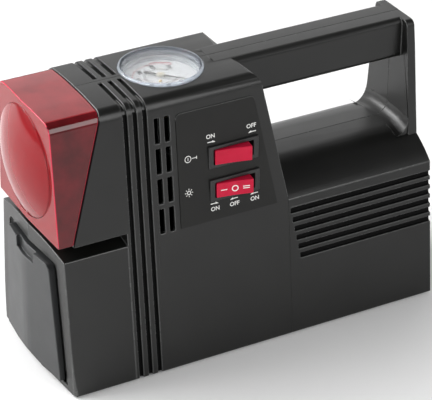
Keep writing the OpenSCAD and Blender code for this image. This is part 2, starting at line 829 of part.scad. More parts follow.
// Solid between the door's creased face, set back by a skin, and a plane behind it
module door_body(back, set, outline_in) {
    intersection() {
        translate([0, 0, -5]) linear_extrude(120)
            polygon(concat([for (i = [-8:8]) let (y = i * 5.5)
                [set - door_out + door_bow * (norm([y, 4]) - 4) / door_foot_hw, y]],
                [[back, 44], [back, -44]]));
        translate([-20, 0, 0]) rotate([90, 0, 90]) linear_extrude(40)
            door_outline(-outline_in, door_z + (outline_in > 0 ? 1.6 : 0));
    }
}

module storage_door() color([0.24, 0.24, 0.23]) {
    back = margin_d - move_gap;
    difference() {
        union() {
            difference() {
                door_body(back, 0, 0);
                door_body(back + 5, door_t, door_t);
            }
            intersection() {
                door_body(back, 0, 0);
                union() {
                    for (s = [-1, 1]) {
                        bar(-8, hinge_x, s * knuckle_y - 3, s * knuckle_y + 3, hinge_z - 2.8,
                            hinge_z + 2.8);
                        y_cyl(hinge_x, s * knuckle_y - 3, s * knuckle_y + 3, hinge_z, 2.8);
                    }
                    // wall behind the finger notch
                    bar(-10, back, -notch_w / 2 - door_t, notch_w / 2 + door_t,
                        door_top - notch_h - door_t, door_top);
                }
            }
        }
        y_cyl(hinge_x, -26.5, 26.5, hinge_z, hinge_r + run_gap);
        // finger notch in the upper edge
        difference() {
            bar(-10, 5, -notch_w / 2, notch_w / 2, door_top - notch_h, door_top + 2);
            door_body(back + 5, notch_d, 0);
        }
        // the foot is rounded about the hinge
        difference() {
            bar(-10, 5, -50, 50, 0, hinge_z);
            y_cyl(hinge_x, -51, 51, hinge_z, foot_sweep);
        }
        // clearance round the hinge lugs
        for (s = [-1, 1])
            bar(-5, 6, s * lug_y - 3.5 - move_gap, s * lug_y + 3.5 + move_gap, 0, hinge_z + 4);
    }
}

module hinge_pin() color("silver") y_cyl(hinge_x, -26, 26, hinge_z, hinge_r);

module storage_tub() color([0.18, 0.18, 0.18]) {
    difference() {
        union() {
            bar(pocket_d - flange_t, pocket_d, -tub_hw - 2, tub_hw + 2, tub_z - 1.2,
                tub_top + 2);
            bar(pocket_d - 1, tub_end, -tub_hw, tub_hw, tub_z, tub_top);
        }
        bar(0, tub_end - tub_wall, tub_wall - tub_hw, tub_hw - tub_wall, tub_z + tub_wall,
            tub_top - tub_wall);
        x_cyl(tub_end - 5, tub_end + 5, gear_y, outlet_z, outlet_r + run_gap);
        x_cyl(tub_end - 5, tub_end + 5, cord_y, outlet_z, cord_r + run_gap);
    }
}

module cord_grommet() color([0.06, 0.06, 0.06]) {
    difference() {
        union() {
            x_cyl(tub_end - tub_wall - 1.5, tub_end + 1.5, cord_y, outlet_z, cord_r);
            x_cyl(tub_end - tub_wall - 3, tub_end - tub_wall, cord_y, outlet_z, cord_r + 1.5);
            x_cyl(tub_end, tub_end + 1.5, cord_y, outlet_z, cord_r + 1.5);
        }
        x_cyl(tub_end - 10, tub_end + 10, cord_y, outlet_z, cord_r - 1.2);
    }
}

module hose_outlet() color([0.8, 0.65, 0.3]) {
    difference() {
        union() {
            x_cyl(tub_end - tub_wall - 8, tub_end + 4, gear_y, outlet_z, outlet_r);
            x_cyl(tub_end, tub_end + 3, gear_y, outlet_z, outlet_r + 2, $fn = 6);
        }
        x_cyl(tub_end - 20, tub_end + 10, gear_y, outlet_z, pipe_r + 0.4);
    }
}

module compressor_frame() color([0.62, 0.62, 0.64]) {
    p1 = plate_x + plate_t;
    difference() {
        union() {
            bar(plate_x, p1, gear_y - ring_hw - 2, motor_y + ring_hw, floor_z, ring_z + ring_t);
            bar(plate_x, p1 + motor_l * 0.38, gear_y - ring_hw - 2, motor_y + ring_hw, floor_z,
                floor_z + plate_t - 0.5);
            bar(cylinder_x - ring_hw, p1, gear_y - ring_hw, gear_y + ring_hw, ring_z,
                ring_z + ring_t);
        }
        translate([cylinder_x, gear_y, ring_z - 5])
            cylinder(h = 20, r = bore_r + cylinder_wall + run_gap);
        x_cyl(plate_x - 5, p1 + 5, motor_y, drive_z, 6);
        x_cyl(plate_x - 5, p1 + 5, gear_y, drive_z, bush_r + run_gap);
        for (s = [-1, 1])
            x_cyl(plate_x - 5, p1 + 5, motor_y, drive_z + s * motor_bolt, small_r + run_gap);
        bolt_holes(ring_z - 5);
    }
}

module bolt_holes(z) {
    for (a = [-1, 1], b = [-1, 1])
        translate([cylinder_x + a * bolt_off, gear_y + b * bolt_off, z])
            cylinder(h = 60, r = small_r + run_gap);
}

module motor_can() color([0.7, 0.7, 0.72]) {
    x0 = plate_x + plate_t;
    difference() {
        x_cyl(x0, x0 + motor_l - 6, motor_y, drive_z, motor_r);
        x_cyl(x0 + 3, x0 + motor_l, motor_y, drive_z, motor_r - 3);
        x_cyl(x0 - 1, x0 + 5, motor_y, drive_z, shaft_r + run_gap);
        for (s = [-1, 1])
            x_cyl(x0 - 1, x0 + 5, motor_y, drive_z + s * motor_bolt, small_r + run_gap);
    }
}

module motor_end_cap() color([0.1, 0.1, 0.1]) {
    x1 = plate_x + plate_t + motor_l;
    difference() {
        union() {
            x_cyl(x1 - 6, x1, motor_y, drive_z, motor_r);
            x_cyl(x1 - 8, x1 - 6, motor_y, drive_z, motor_r - 3 - seat_gap);
            for (s = [-1, 1])
                bar(x1, x1 + 6, motor_y + s * 10 - 2.4, motor_y + s * 10 + 2.4, drive_z - 0.4,
                    drive_z + 0.4);
        }
        x_cyl(x1 - 9, x1 - 3, motor_y, drive_z, shaft_r + run_gap);
    }
}

module motor_armature() color([0.5, 0.3, 0.2]) {
    x0 = plate_x + plate_t;
    x_cyl(gear_x - 1, x0 + motor_l - 3.3, motor_y, drive_z, shaft_r);
    x_cyl(x0 + 9, x0 + motor_l - 18, motor_y, drive_z, motor_r - 6);
    x_cyl(x0 + motor_l - 17.9, x0 + motor_l - 10, motor_y, drive_z, 4.5);
}

// A toothed wheel with trapezoid teeth, centred on its axis
module toothed(teeth, pr, thick, turn) {
    root = pr - 1.15 * tooth_m;
    tip = pr + 0.85 * tooth_m;
    pitch = 360 / teeth;
    foot = pitch * 0.3;
    top = pitch * 0.13;
    rotate([0, 0, turn]) linear_extrude(thick)
        polygon([for (i = [0:teeth - 1], c = [[root, -foot], [tip, -top], [tip, top], [root, foot]])
            let (a = i * pitch + c[1]) [c[0] * cos(a), c[0] * sin(a)]]);
}

module motor_pinion() color([0.8, 0.65, 0.3]) {
    difference() {
        translate([gear_x, motor_y, drive_z]) rotate([90, 0, 90])
            toothed(pinion_teeth, pinion_pr, gear_t, 0);
        x_cyl(gear_x - 5, gear_x + 20, motor_y, drive_z, shaft_r);
    }
}

module motor_screws() color("silver") {
    for (s = [-1, 1]) {
        x_cyl(plate_x, plate_x + plate_t + 2.8, motor_y, drive_z + s * motor_bolt, small_r);
        x_cyl(plate_x - 1.8, plate_x, motor_y, drive_z + s * motor_bolt, small_r + 1.2);
    }
}

module drive_gear() color([0.85, 0.83, 0.75]) {
    translate([gear_x, gear_y, drive_z]) rotate([90, 0, 90])
        toothed(gear_teeth, gear_pr, gear_t, 180 / gear_teeth);
    x_cyl(gear_x, plate_x + plate_t + 5, gear_y, drive_z, gear_shaft_r);
    x_cyl(cylinder_x + rod_t / 2 + move_gap, gear_x + 1, gear_y, pin_z, crank_pin_r);
}

module gear_bush() color([0.7, 0.5, 0.25]) {
    difference() {
        x_cyl(plate_x, plate_x + plate_t + 4, gear_y, drive_z, bush_r);
        x_cyl(plate_x - 5, plate_x + plate_t + 5, gear_y, drive_z, gear_shaft_r + run_gap);
    }
}

// Rod with a big end at the crank and a small end in the piston
module connecting_rod() color([0.72, 0.72, 0.74]) {
    x0 = cylinder_x - rod_t / 2;
    difference() {
        union() {
            x_cyl(x0, x0 + rod_t, gear_y, pin_z, 5.5);
            x_cyl(x0, x0 + rod_t, gear_y, wrist_z, 4.5);
            bar(x0, x0 + rod_t, gear_y - 2.6, gear_y + 2.6, pin_z + 4, wrist_z - 3);
        }
        x_cyl(x0 - 5, x0 + rod_t + 5, gear_y, pin_z, crank_pin_r + run_gap);
    }
    x_cyl(cylinder_x - 8, cylinder_x + 8, gear_y, wrist_z, wrist_pin_r);
}

module piston() color([0.8, 0.8, 0.82]) {
    difference() {
        translate([cylinder_x, gear_y, wrist_z - 6]) cylinder(h = 14, r = bore_r - run_gap);
        translate([cylinder_x, gear_y, wrist_z - 7]) cylinder(h = 12.5, r = bore_r - 2.4);
        x_cyl(cylinder_x - 8.1, cylinder_x + 8.1, gear_y, wrist_z, wrist_pin_r + run_gap);
        translate([cylinder_x, gear_y, wrist_z + 6]) difference() {
            cylinder(h = 1.4, r = bore_r + 1);
            translate([0, 0, -1]) cylinder(h = 4, r = bore_r - 1.2);
        }
    }
    for (s = [-1, 1])
        difference() {
            x_cyl(cylinder_x + s * 6.2 - 2.4, cylinder_x + s * 6.2 + 2.4, gear_y, wrist_z, 3.4);
            x_cyl(cylinder_x - 9, cylinder_x + 9, gear_y, wrist_z, wrist_pin_r + run_gap);
        }
}

module piston_seal() color([0.05, 0.05, 0.05]) {
    translate([cylinder_x, gear_y, wrist_z + 6.1]) difference() {
        cylinder(h = 1.2, r = bore_r - 0.02);
        translate([0, 0, -1]) cylinder(h = 4, r = bore_r - 1.1);
    }
}

module compressor_cylinder() color([0.75, 0.75, 0.77]) {
    r = bore_r + cylinder_wall;
    translate([cylinder_x, gear_y, 0]) difference() {
        union() {
            translate([0, 0, ring_z]) cylinder(h = head_z - ring_z, r = r);
            translate([0, 0, ring_z + ring_t]) cylinder(h = 2.5, r = r + 1.2);
            for (i = [0:3])
                translate([0, 0, ring_z + ring_t + 7 + i * 4.5]) cylinder(h = 1.6, r = r + 1.2);
        }
        translate([0, 0, ring_z - 5]) cylinder(h = 80, r = bore_r);
    }
}

module cylinder_head() color([0.62, 0.62, 0.64]) {
    difference() {
        union() {
            bar(cylinder_x - head_hw, cylinder_x + head_hw, gear_y - head_hw, gear_y + head_hw,
                head_z, head_z + head_t);
            x_cyl(cylinder_x - head_hw - nipple_l, cylinder_x - head_hw + 1, gear_y,
                head_z + head_t / 2, pipe_r + 0.4);
        }
        bolt_holes(head_z - 5);
        translate([cylinder_x, gear_y, head_z - 1]) cylinder(h = 4, r = 5);
    }
}

module head_bolts() color("silver") {
    for (a = [-1, 1], b = [-1, 1])
        translate([cylinder_x + a * bolt_off, gear_y + b * bolt_off, ring_z]) {
            cylinder(h = head_z + head_t - ring_z, r = small_r);
            translate([0, 0, head_z + head_t - ring_z]) cylinder(h = 2, r = small_r + 1.2, $fn = 6);
        }
}

// Pipe from the head to the gauge, with a branch to the hose outlet
module air_pipe() color([0.25, 0.25, 0.27]) {
    z = head_z + head_t / 2;
    tee = [cylinder_x - head_hw - nipple_l - 12, gear_y, z];
    rod_between([cylinder_x - head_hw - nipple_l - run_gap - pipe_r * 1.15, gear_y, z], tee,
        pipe_r);
    rod_between(tee, [gauge_x, 0, case_z - 40], pipe_r);
    rod_between([gauge_x, 0, case_z - 40], [gauge_x, 0, case_z - 18 - run_gap - pipe_r * 1.15],
        pipe_r);
    rod_between(tee, [tub_end + bend_x, gear_y, outlet_z], pipe_r);
    rod_between([tub_end + bend_x, gear_y, outlet_z], [tub_end + 4 + run_gap + pipe_r * 1.15, gear_y,
        outlet_z], pipe_r);
}

place() near_shell();
place() far_shell();
place() housing_screws();
place() rubber_feet();
place() lamp_lens();
place() lamp_reflector();
place() lamp_bulb();
place() bulb_holder();
place() flasher_board();
place() gauge_cover();
place() gauge_dial();
place() gauge_needle();
place() gauge_case();
place() bourdon_tube();
place() gauge_stem();
place() switch_panel();
place() compressor_switch();
place() compressor_rocker();
place() light_switch();
place() light_rocker();
place() switch_terminals();
place() storage_door();
place() hinge_pin();
place() storage_tub();
place() cord_grommet();
place() hose_outlet();
place() compressor_frame();
place() motor_can();
place() motor_end_cap();
place() motor_armature();
place() motor_pinion();
place() motor_screws();
place() drive_gear();
place() gear_bush();
place() connecting_rod();
place() piston();
place() piston_seal();
place() compressor_cylinder();
place() cylinder_head();
place() head_bolts();
place() air_pipe();
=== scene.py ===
# Looks of the portable air compressor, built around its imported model.
import json
import math
import bmesh
import bpy
from mathutils import Matrix, Vector

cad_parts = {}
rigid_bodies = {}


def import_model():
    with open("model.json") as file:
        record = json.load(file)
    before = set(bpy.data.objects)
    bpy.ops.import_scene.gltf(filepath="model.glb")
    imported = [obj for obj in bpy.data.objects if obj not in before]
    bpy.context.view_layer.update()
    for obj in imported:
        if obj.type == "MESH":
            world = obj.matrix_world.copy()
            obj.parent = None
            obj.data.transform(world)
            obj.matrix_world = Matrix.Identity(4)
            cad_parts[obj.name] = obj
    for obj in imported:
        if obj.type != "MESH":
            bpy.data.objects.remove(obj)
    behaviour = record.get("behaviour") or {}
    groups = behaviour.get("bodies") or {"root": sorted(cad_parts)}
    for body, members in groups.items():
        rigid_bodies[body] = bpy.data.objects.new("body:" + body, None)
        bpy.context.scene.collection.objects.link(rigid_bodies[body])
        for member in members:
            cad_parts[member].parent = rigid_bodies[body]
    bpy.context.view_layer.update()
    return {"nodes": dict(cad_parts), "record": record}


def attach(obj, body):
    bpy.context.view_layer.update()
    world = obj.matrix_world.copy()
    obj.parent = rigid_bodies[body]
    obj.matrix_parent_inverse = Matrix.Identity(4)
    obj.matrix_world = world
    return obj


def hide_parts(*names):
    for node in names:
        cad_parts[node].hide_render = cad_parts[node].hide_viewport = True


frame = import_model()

mm = 0.001
nodes = frame["nodes"]
collection = bpy.context.scene.collection
for extra in list(bpy.data.objects):
    if extra.name not in nodes and not extra.name.startswith("body:"):
        bpy.data.objects.remove(extra)

# The CAD source measures from the lower front corner; this is that corner in the shared frame.
corner = Vector((-119.4, 0, 1.2)) * mm
wallHalf = 51.4         # half width of the housing at its foot, mm
wallLean = 0.08995      # what each side wall leans in for every mm of height
acrylicIor = 1.49


def place(x, y, z):
    return Vector((x, y, z)) * mm + corner


def halfWidth(z):
    return wallHalf - wallLean * z


def newMaterial(name):
    material = bpy.data.materials.new(name)
    material.use_nodes = True
    tree = material.node_tree
    shader = tree.nodes["Principled BSDF"]
    return material, tree, shader


def addNode(tree, kind, **settings):
    node = tree.nodes.new(kind)
    for key, value in settings.items():
        setattr(node, key, value)
    return node


def noiseOn(tree, scale, detail=3, rough=0.55):
    coordinates = addNode(tree, "ShaderNodeTexCoord")
    noise = addNode(tree, "ShaderNodeTexNoise")
    noise.inputs["Scale"].default_value = scale
    noise.inputs["Detail"].default_value = detail
    noise.inputs["Roughness"].default_value = rough
    tree.links.new(coordinates.outputs["Object"], noise.inputs["Vector"])
    return noise.outputs["Fac"]


def ramp(tree, fac, low, high, start=0.3, end=0.7):
    node = addNode(tree, "ShaderNodeValToRGB")
    node.color_ramp.elements[0].position = start
    node.color_ramp.elements[0].color = (*low, 1)
    node.color_ramp.elements[1].position = end
    node.color_ramp.elements[1].color = (*high, 1)
    tree.links.new(fac, node.inputs["Fac"])
    return node.outputs["Color"]


def span(tree, fac, low, high):
    node = addNode(tree, "ShaderNodeMapRange")
    node.inputs["To Min"].default_value = low
    node.inputs["To Max"].default_value = high
    tree.links.new(fac, node.inputs["Value"])
    return node.outputs["Result"]


# Each layer is its height, its depth in metres and its strength.
def bumpFrom(tree, shader, *layers):
    last = None
    for height, depth, strength in layers:
        bump = addNode(tree, "ShaderNodeBump")
        bump.inputs["Distance"].default_value = depth
        bump.inputs["Strength"].default_value = strength
        tree.links.new(height, bump.inputs["Height"])
        if last:
            tree.links.new(last, bump.inputs["Normal"])
        last = bump.outputs["Normal"]
    tree.links.new(last, shader.inputs["Normal"])


# Grain is the scale, depth and strength of the fine texture of the mould.
def mouldedPlastic(name, dark, light, rough=(0.36, 0.46), grain=(1900, 0.00003, 0.45),
                   specular=0.5):
    material, tree, shader = newMaterial(name)
    tone = noiseOn(tree, 28, 4)
    tree.links.new(ramp(tree, tone, dark, light), shader.inputs["Base Color"])
    tree.links.new(span(tree, noiseOn(tree, 90, 3), *rough), shader.inputs["Roughness"])
    shader.inputs["Specular IOR Level"].default_value = specular
    scale, depth, strength = grain
    fine = noiseOn(tree, scale, 2)
    broad = noiseOn(tree, 14, 1)
    bumpFrom(tree, shader, (fine, depth, strength), (broad, 0.0004, 0.12))
    return material


def metal(name, dark, light, rough=(0.25, 0.4), bump=0.2):
    material, tree, shader = newMaterial(name)
    grain = noiseOn(tree, 700, 3)
    tree.links.new(ramp(tree, grain, dark, light), shader.inputs["Base Color"])
    tree.links.new(span(tree, noiseOn(tree, 160, 2), *rough), shader.inputs["Roughness"])
    shader.inputs["Metallic"].default_value = 1
    bumpFrom(tree, shader, (grain, 0.00003, bump))
    return material


def clearPlastic(name, color, rough, alpha=1, clear=1, ripple=0.0002, specular=0.5):
    material, tree, shader = newMaterial(name)
    shade = noiseOn(tree, 60, 2)
    lighter = [min(1, c * 1.06 + 0.004) for c in color]
    tree.links.new(ramp(tree, shade, color, lighter), shader.inputs["Base Color"])
    shader.inputs["Transmission Weight"].default_value = clear
    shader.inputs["Alpha"].default_value = alpha
    shader.inputs["IOR"].default_value = acrylicIor
    shader.inputs["Specular IOR Level"].default_value = specular
    tree.links.new(span(tree, noiseOn(tree, 30, 2), rough * 0.7, rough * 1.3),
                   shader.inputs["Roughness"])
    if ripple:
        bumpFrom(tree, shader, (noiseOn(tree, 35, 2), ripple, 0.1))
    return material


def glossPlastic(name, dark, light, rough=(0.12, 0.2), specular=0.5):
    material, tree, shader = newMaterial(name)
    tree.links.new(ramp(tree, noiseOn(tree, 60, 3), dark, light), shader.inputs["Base Color"])
    tree.links.new(span(tree, noiseOn(tree, 140, 2), *rough), shader.inputs["Roughness"])
    shader.inputs["Specular IOR Level"].default_value = specular
    bumpFrom(tree, shader, (noiseOn(tree, 320, 2), 0.00003, 0.25))
    return material


finishes = {
    "shell_plastic": mouldedPlastic("satinBlack", (0.0045, 0.0046, 0.0042),
                                    (0.0075, 0.0076, 0.007), rough=(0.27, 0.37),
                                    grain=(1500, 0.00004, 0.55), specular=0.46),
    "door_plastic": mouldedPlastic("doorBlack", (0.016, 0.0168, 0.0175), (0.022, 0.0232, 0.024),
                                   rough=(0.33, 0.42), grain=(1500, 0.00004, 0.5)),
    "panel_plastic": mouldedPlastic("panelBlack", (0.0045, 0.0045, 0.004), (0.007, 0.007, 0.006),
                                    rough=(0.42, 0.5), specular=0.34),
    "switch_plastic": mouldedPlastic("switchBlack", (0.012, 0.012, 0.012), (0.02, 0.02, 0.02),
                                     grain=(2500, 0.00001, 0.3)),
    "inner_plastic": mouldedPlastic("innerBlack", (0.015, 0.015, 0.015), (0.025, 0.025, 0.025)),
    "pipe_plastic": mouldedPlastic("pipeBlack", (0.03, 0.03, 0.033), (0.05, 0.05, 0.055)),
    "rubber": mouldedPlastic("rubberBlack", (0.008, 0.008, 0.008), (0.016, 0.016, 0.016),
                             rough=(0.7, 0.85), specular=0.3),
    "rocker_red": glossPlastic("rockerRed", (0.46, 0.003, 0.03), (0.54, 0.006, 0.042),
                               rough=(0.3, 0.4), specular=0.25),
    "red_lens": clearPlastic("lensRed", (0.2, 0.003, 0.022), 0.08, clear=0.3),
    "clear_cover": clearPlastic("coverClear", (0.97, 0.985, 0.995), 0.0, alpha=0.16, ripple=0),
    "bulb_glass": clearPlastic("bulbGlass", (0.97, 0.96, 0.93), 0.02),
    "mirror": metal("mirrorSilver", (0.86, 0.86, 0.88), (0.93, 0.93, 0.95), rough=(0.04, 0.1),
                    bump=0.05),
    "dial_white": mouldedPlastic("dialWhite", (0.7, 0.715, 0.73), (0.76, 0.775, 0.79),
                                 rough=(0.35, 0.45)),
    "needle_black": mouldedPlastic("needleBlack", (0.06, 0.06, 0.05), (0.09, 0.09, 0.08)),
    "steel": metal("zincSteel", (0.5, 0.5, 0.52), (0.66, 0.66, 0.68)),
    "brass": metal("plainBrass", (0.68, 0.5, 0.22), (0.82, 0.64, 0.32)),
    "cast_alloy": metal("castAlloy", (0.5, 0.5, 0.51), (0.64, 0.64, 0.65), rough=(0.4, 0.6),
                        bump=0.6),
    "armature": mouldedPlastic("copperWinding", (0.3, 0.12, 0.05), (0.42, 0.2, 0.09),
                               rough=(0.25, 0.4)),
    "board": glossPlastic("boardGreen", (0.02, 0.14, 0.05), (0.03, 0.2, 0.08)),
    "gear_plastic": glossPlastic("gearNylon", (0.7, 0.67, 0.55), (0.8, 0.77, 0.66)),
}
markWhite = mouldedPlastic("markWhite", (0.72, 0.72, 0.7), (0.82, 0.82, 0.8), rough=(0.4, 0.55),
                           grain=(900, 0.00001, 0.2))
markBlack = mouldedPlastic("markBlack", (0.02, 0.02, 0.02), (0.04, 0.04, 0.04))
markRed = mouldedPlastic("markRed", (0.5, 0.02, 0.03), (0.6, 0.04, 0.05))
for row in frame["record"]["subparts"]:
    data = nodes[row["node"]].data
    data.materials.clear()
    data.materials.append(finishes[row["material_slot"]])
print("materials ready")


def newPiece(name, mesh, body, slot, *materials):
    piece = bpy.data.objects.new(name, mesh)
    collection.objects.link(piece)
    for material in materials or (finishes[slot],):
        piece.data.materials.append(material)
    piece["body"] = body
    piece["slot"] = slot
    return piece


def meshFrom(name, points, faces):
    mesh = bpy.data.meshes.new(name)
    mesh.from_pydata([tuple(p) for p in points], [], faces)
    mesh.update()
    return mesh


def applyModifiers(piece):
    ready = bpy.context.evaluated_depsgraph_get()
    mesh = bpy.data.meshes.new_from_object(piece.evaluated_get(ready))
    piece.modifiers.clear()
    old = piece.data
    piece.data = mesh
    bpy.data.meshes.remove(old)


def softenEdges(mesh, angle=32):
    mesh.shade_smooth()
    mesh.set_sharp_from_angle(angle=math.radians(angle))


def recalculate(mesh, merge=None):
    work = bmesh.new()
    work.from_mesh(mesh)
    if merge:
        bmesh.ops.remove_doubles(work, verts=work.verts, dist=merge)
    bmesh.ops.recalc_face_normals(work, faces=work.faces)
    work.to_mesh(mesh)
    work.free()


rounding = {
    "merge": 0.002,      # mm
    "flat": 0.6,         # degrees between faces that count as one
    "shortest": 0.8,     # shorter edges, and those that meet them, stay sharp
    "turn": 28,          # degrees from which an edge is rounded
    "segments": 3,
}


# A merged copy of a CAD node, with its long convex and concave edges rounded.
def roundedCopy(node, name, body, slot, width, turn=rounding["turn"], edgeFinishAndPaintedHighlight=None,
                reshape=None):
    mesh = nodes[node].data.copy()
    mesh.materials.clear()
    work = bmesh.new()
    work.from_mesh(mesh)
    bmesh.ops.remove_doubles(work, verts=work.verts, dist=rounding["merge"] * mm)
    if reshape:
        reshape(work)
    bmesh.ops.dissolve_limit(work, angle_limit=math.radians(rounding["flat"]),
                             verts=work.verts, edges=work.edges)
    layer = work.edges.layers.float.new("bevel_weight_edge")
    sharp = {e for e in work.edges
             if e.is_manifold and e.calc_face_angle(0) > math.radians(turn)}
    short = {e for e in sharp if e.calc_length() < rounding["shortest"] * mm}
    for edge in sharp - short:
        if not any(e in short for v in edge.verts for e in v.link_edges):
            edge[layer] = 1
    work.to_mesh(mesh)
    work.free()
    piece = newPiece(name, mesh, body, slot, *[finishes[slot]] + [edgeFinishAndPaintedHighlight] * bool(edgeFinishAndPaintedHighlight))
    bevel = piece.modifiers.new("edges", "BEVEL")
    bevel.limit_method = "WEIGHT"
    bevel.width = width * mm
    bevel.segments = rounding["segments"]
    bevel.use_clamp_overlap = False
    bevel.miter_outer = "MITER_ARC"
    # The bevel faces take the second material: a painted highlight on the housing, panel and lens,
    # black inner plastic on the reflector.
    if edgeFinishAndPaintedHighlight:
        bevel.material = 1
    applyModifiers(piece)
    softenEdges(piece.data)
    weighted = piece.modifiers.new("normals", "WEIGHTED_NORMAL")
    weighted.keep_sharp = True
    weighted.weight = 80
    applyModifiers(piece)
    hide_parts(node)
    return piece


# A solid of revolution about an upright axis: profile of (radius, height), bottom to top and back.
def lathe(name, profile, centre, body, slot, *materials, steps=96):
    points, faces, rings = [], [], []
    tiny = 1e-6
    for radius, height in profile:
        if radius < tiny:
            rings.append([len(points)])
            points.append((0, 0, height))
            continue
        rings.append(list(range(len(points), len(points) + steps)))
        for i in range(steps):
            turn = 2 * math.pi * i / steps
            points.append((radius * math.cos(turn), radius * math.sin(turn), height))
    closed = profile[0][0] > tiny or profile[-1][0] > tiny
    for k in range(len(rings) if closed else len(rings) - 1):
        low, high = rings[k], rings[(k + 1) % len(rings)]
        for i in range(steps):
            j = (i + 1) % steps
            face = [low[i % len(low)], low[j % len(low)], high[j % len(high)], high[i % len(high)]]
            face = list(dict.fromkeys(face))
            if len(face) > 2:
                faces.append(face)
    mesh = meshFrom(name, [Vector(p) * mm + centre for p in points], faces)
    recalculate(mesh)
    softenEdges(mesh)
    return newPiece(name, mesh, body, slot, *materials)


def arcPoints(cx, cy, radius, first, last, steps=5):
    return [(cx + radius * math.cos(math.radians(first + (last - first) * i / steps)),
             cy + radius * math.sin(math.radians(first + (last - first) * i / steps)))
            for i in range(steps + 1)]


# A flat outline in the XY plane, drawn out along Z.
def plate(outlines, low, high):
    points, faces = [], []
    for outline in outlines:
        n, first = len(outline), len(points)
        points += [(x, y, low) for x, y in outline] + [(x, y, high) for x, y in outline]
        faces.append([first + i for i in reversed(range(n))])
        faces.append([first + n + i for i in range(n)])
        faces += [(first + i, first + (i + 1) % n, first + n + (i + 1) % n, first + n + i)
                  for i in range(n)]
    return points, faces


def textPlate(word, size, high, bold=0):
    curve = bpy.data.curves.new(word, "FONT")
    curve.body = word
    curve.size = size
    curve.extrude = high / 2
    curve.offset = bold
    curve.align_x = "CENTER"
    curve.align_y = "CENTER"
    curve.resolution_u = 4
    holder = bpy.data.objects.new(word, curve)
    collection.objects.link(holder)
    mesh = bpy.data.meshes.new_from_object(
        holder.evaluated_get(bpy.context.evaluated_depsgraph_get()))
    points = [tuple(v.co) for v in mesh.vertices]
    faces = [tuple(p.vertices) for p in mesh.polygons]
    bpy.data.objects.remove(holder)
    return points, faces


# Joins several (points, faces) marks, each already turned by its own matrix, into one piece.
def markPiece(name, marks, body, slot, material):
    points, faces = [], []
    for (markPoints, markFaces), matrix in marks:
        first = len(points)
        points += [matrix @ Vector(p) for p in markPoints]
        faces += [tuple(first + i for i in face) for face in markFaces]
    mesh = meshFrom(name, points, faces)
    recalculate(mesh, merge=0.0005 * mm)
    return newPiece(name, mesh, body, slot, material)


housing = {
    "shelfHeight": 107,
    "moulded": (13, 35),         # half width and radius of the crown as it is packed
    "shown": (6, 51),            # and as it is shown, a little lower between the same edges
    "shelfFront": 136,
    "shelfFoot": 89,             # the crown lies above this height
    "shelfHalf": 43.6,
    "onCrown": 0.25,             # vertices this close to the crown belong to it
    "postFront": 245,
    "fillet": 9,
    "filletCuts": (7, 11, 15, 19, 22),
    "filletFoot": 98,
    "filletEnd": 23,
    "filletSpread": 0.95,        # what the ends of the fillet move out
    "ribs": ((43.2, 45.8), (49.4, 52.0), (55.6, 58.2)),
    "ribFloor": (0.9, 2.1),      # depths in the wall between which the floors lie
    "topFloor": (174.6, 176.3),  # and heights on the top
    "topHalf": 34,
    "louvreTop": 88.5,
    "louvreFoot": 49.5,
    "louvreFront": 149,
    "blockTop": 96.5,            # the edge in front of the louvres stays plain up to here
    "blockBand": 1.2,
    "seatHeights": (97, 177),    # gap round the lens
    "seatFront": 6.6,
    "seatSlope": 0.2925,
    "seatHalf": 0.75,
    "seatDepth": 0.8,
    "cornerBox": (5, 90, 3),     # how far back, up and in the painted highlight on the front corner reaches
}


def crown(y, flat, radius):
    return housing["shelfHeight"] - radius + math.sqrt(max(0, radius ** 2 - max(0, y - flat) ** 2))


# Cuts the faces of the fillet lengthways, so that it can follow the crown.
def cutFillet(work):
    top, fillet = housing["shelfHeight"], housing["fillet"]
    middle = place(housing["postFront"] - fillet / 2, 0, 0).x
    foot, head = (place(0, 0, z).z for z in (housing["filletFoot"], top + fillet + 1))
    for cut in housing["filletCuts"]:
        near = []
        for face in work.faces:
            at = face.calc_center_median()
            if abs(at.x - middle) < fillet * 0.75 * mm and foot < at.z < head:
                near.append(face)
        parts = list({v for f in near for v in f.verts}) + list({e for f in near for e in f.edges})
        for side in (-1, 1):
            parts = [p for p in parts if p.is_valid]
            bmesh.ops.bisect_plane(work, geom=parts + [f for f in near if f.is_valid], dist=1e-7,
                                   plane_co=place(0, side * cut, 0), plane_no=(0, 1, 0))


# Lowers the crown of the shelf a little, and lets the fillet at the post follow it.
def lowerShelf(work):
    top, post, fillet = housing["shelfHeight"], housing["postFront"], housing["fillet"]
    cutFillet(work)
    for vertex in work.verts:
        x, y, z = (vertex.co - corner) / mm
        moulded, shown = (crown(abs(y), *housing[key]) for key in ("moulded", "shown"))
        onShelf = x > housing["shelfFront"] and z > housing["shelfFoot"] and \
            abs(y) < housing["shelfHalf"]
        if onShelf and abs(z - moulded) < housing["onCrown"]:
            vertex.co.z -= (moulded - shown) * mm
        elif post - fillet - 0.1 < x < post - 0.1 and moulded < z < top + fillet:
            vertex.co.z -= (top - shown) * max(0, min(1, 1 - (z - top) / fillet)) * mm
            if abs(y) > housing["filletEnd"]:
                vertex.co.y += math.copysign(housing["filletSpread"], y) * mm
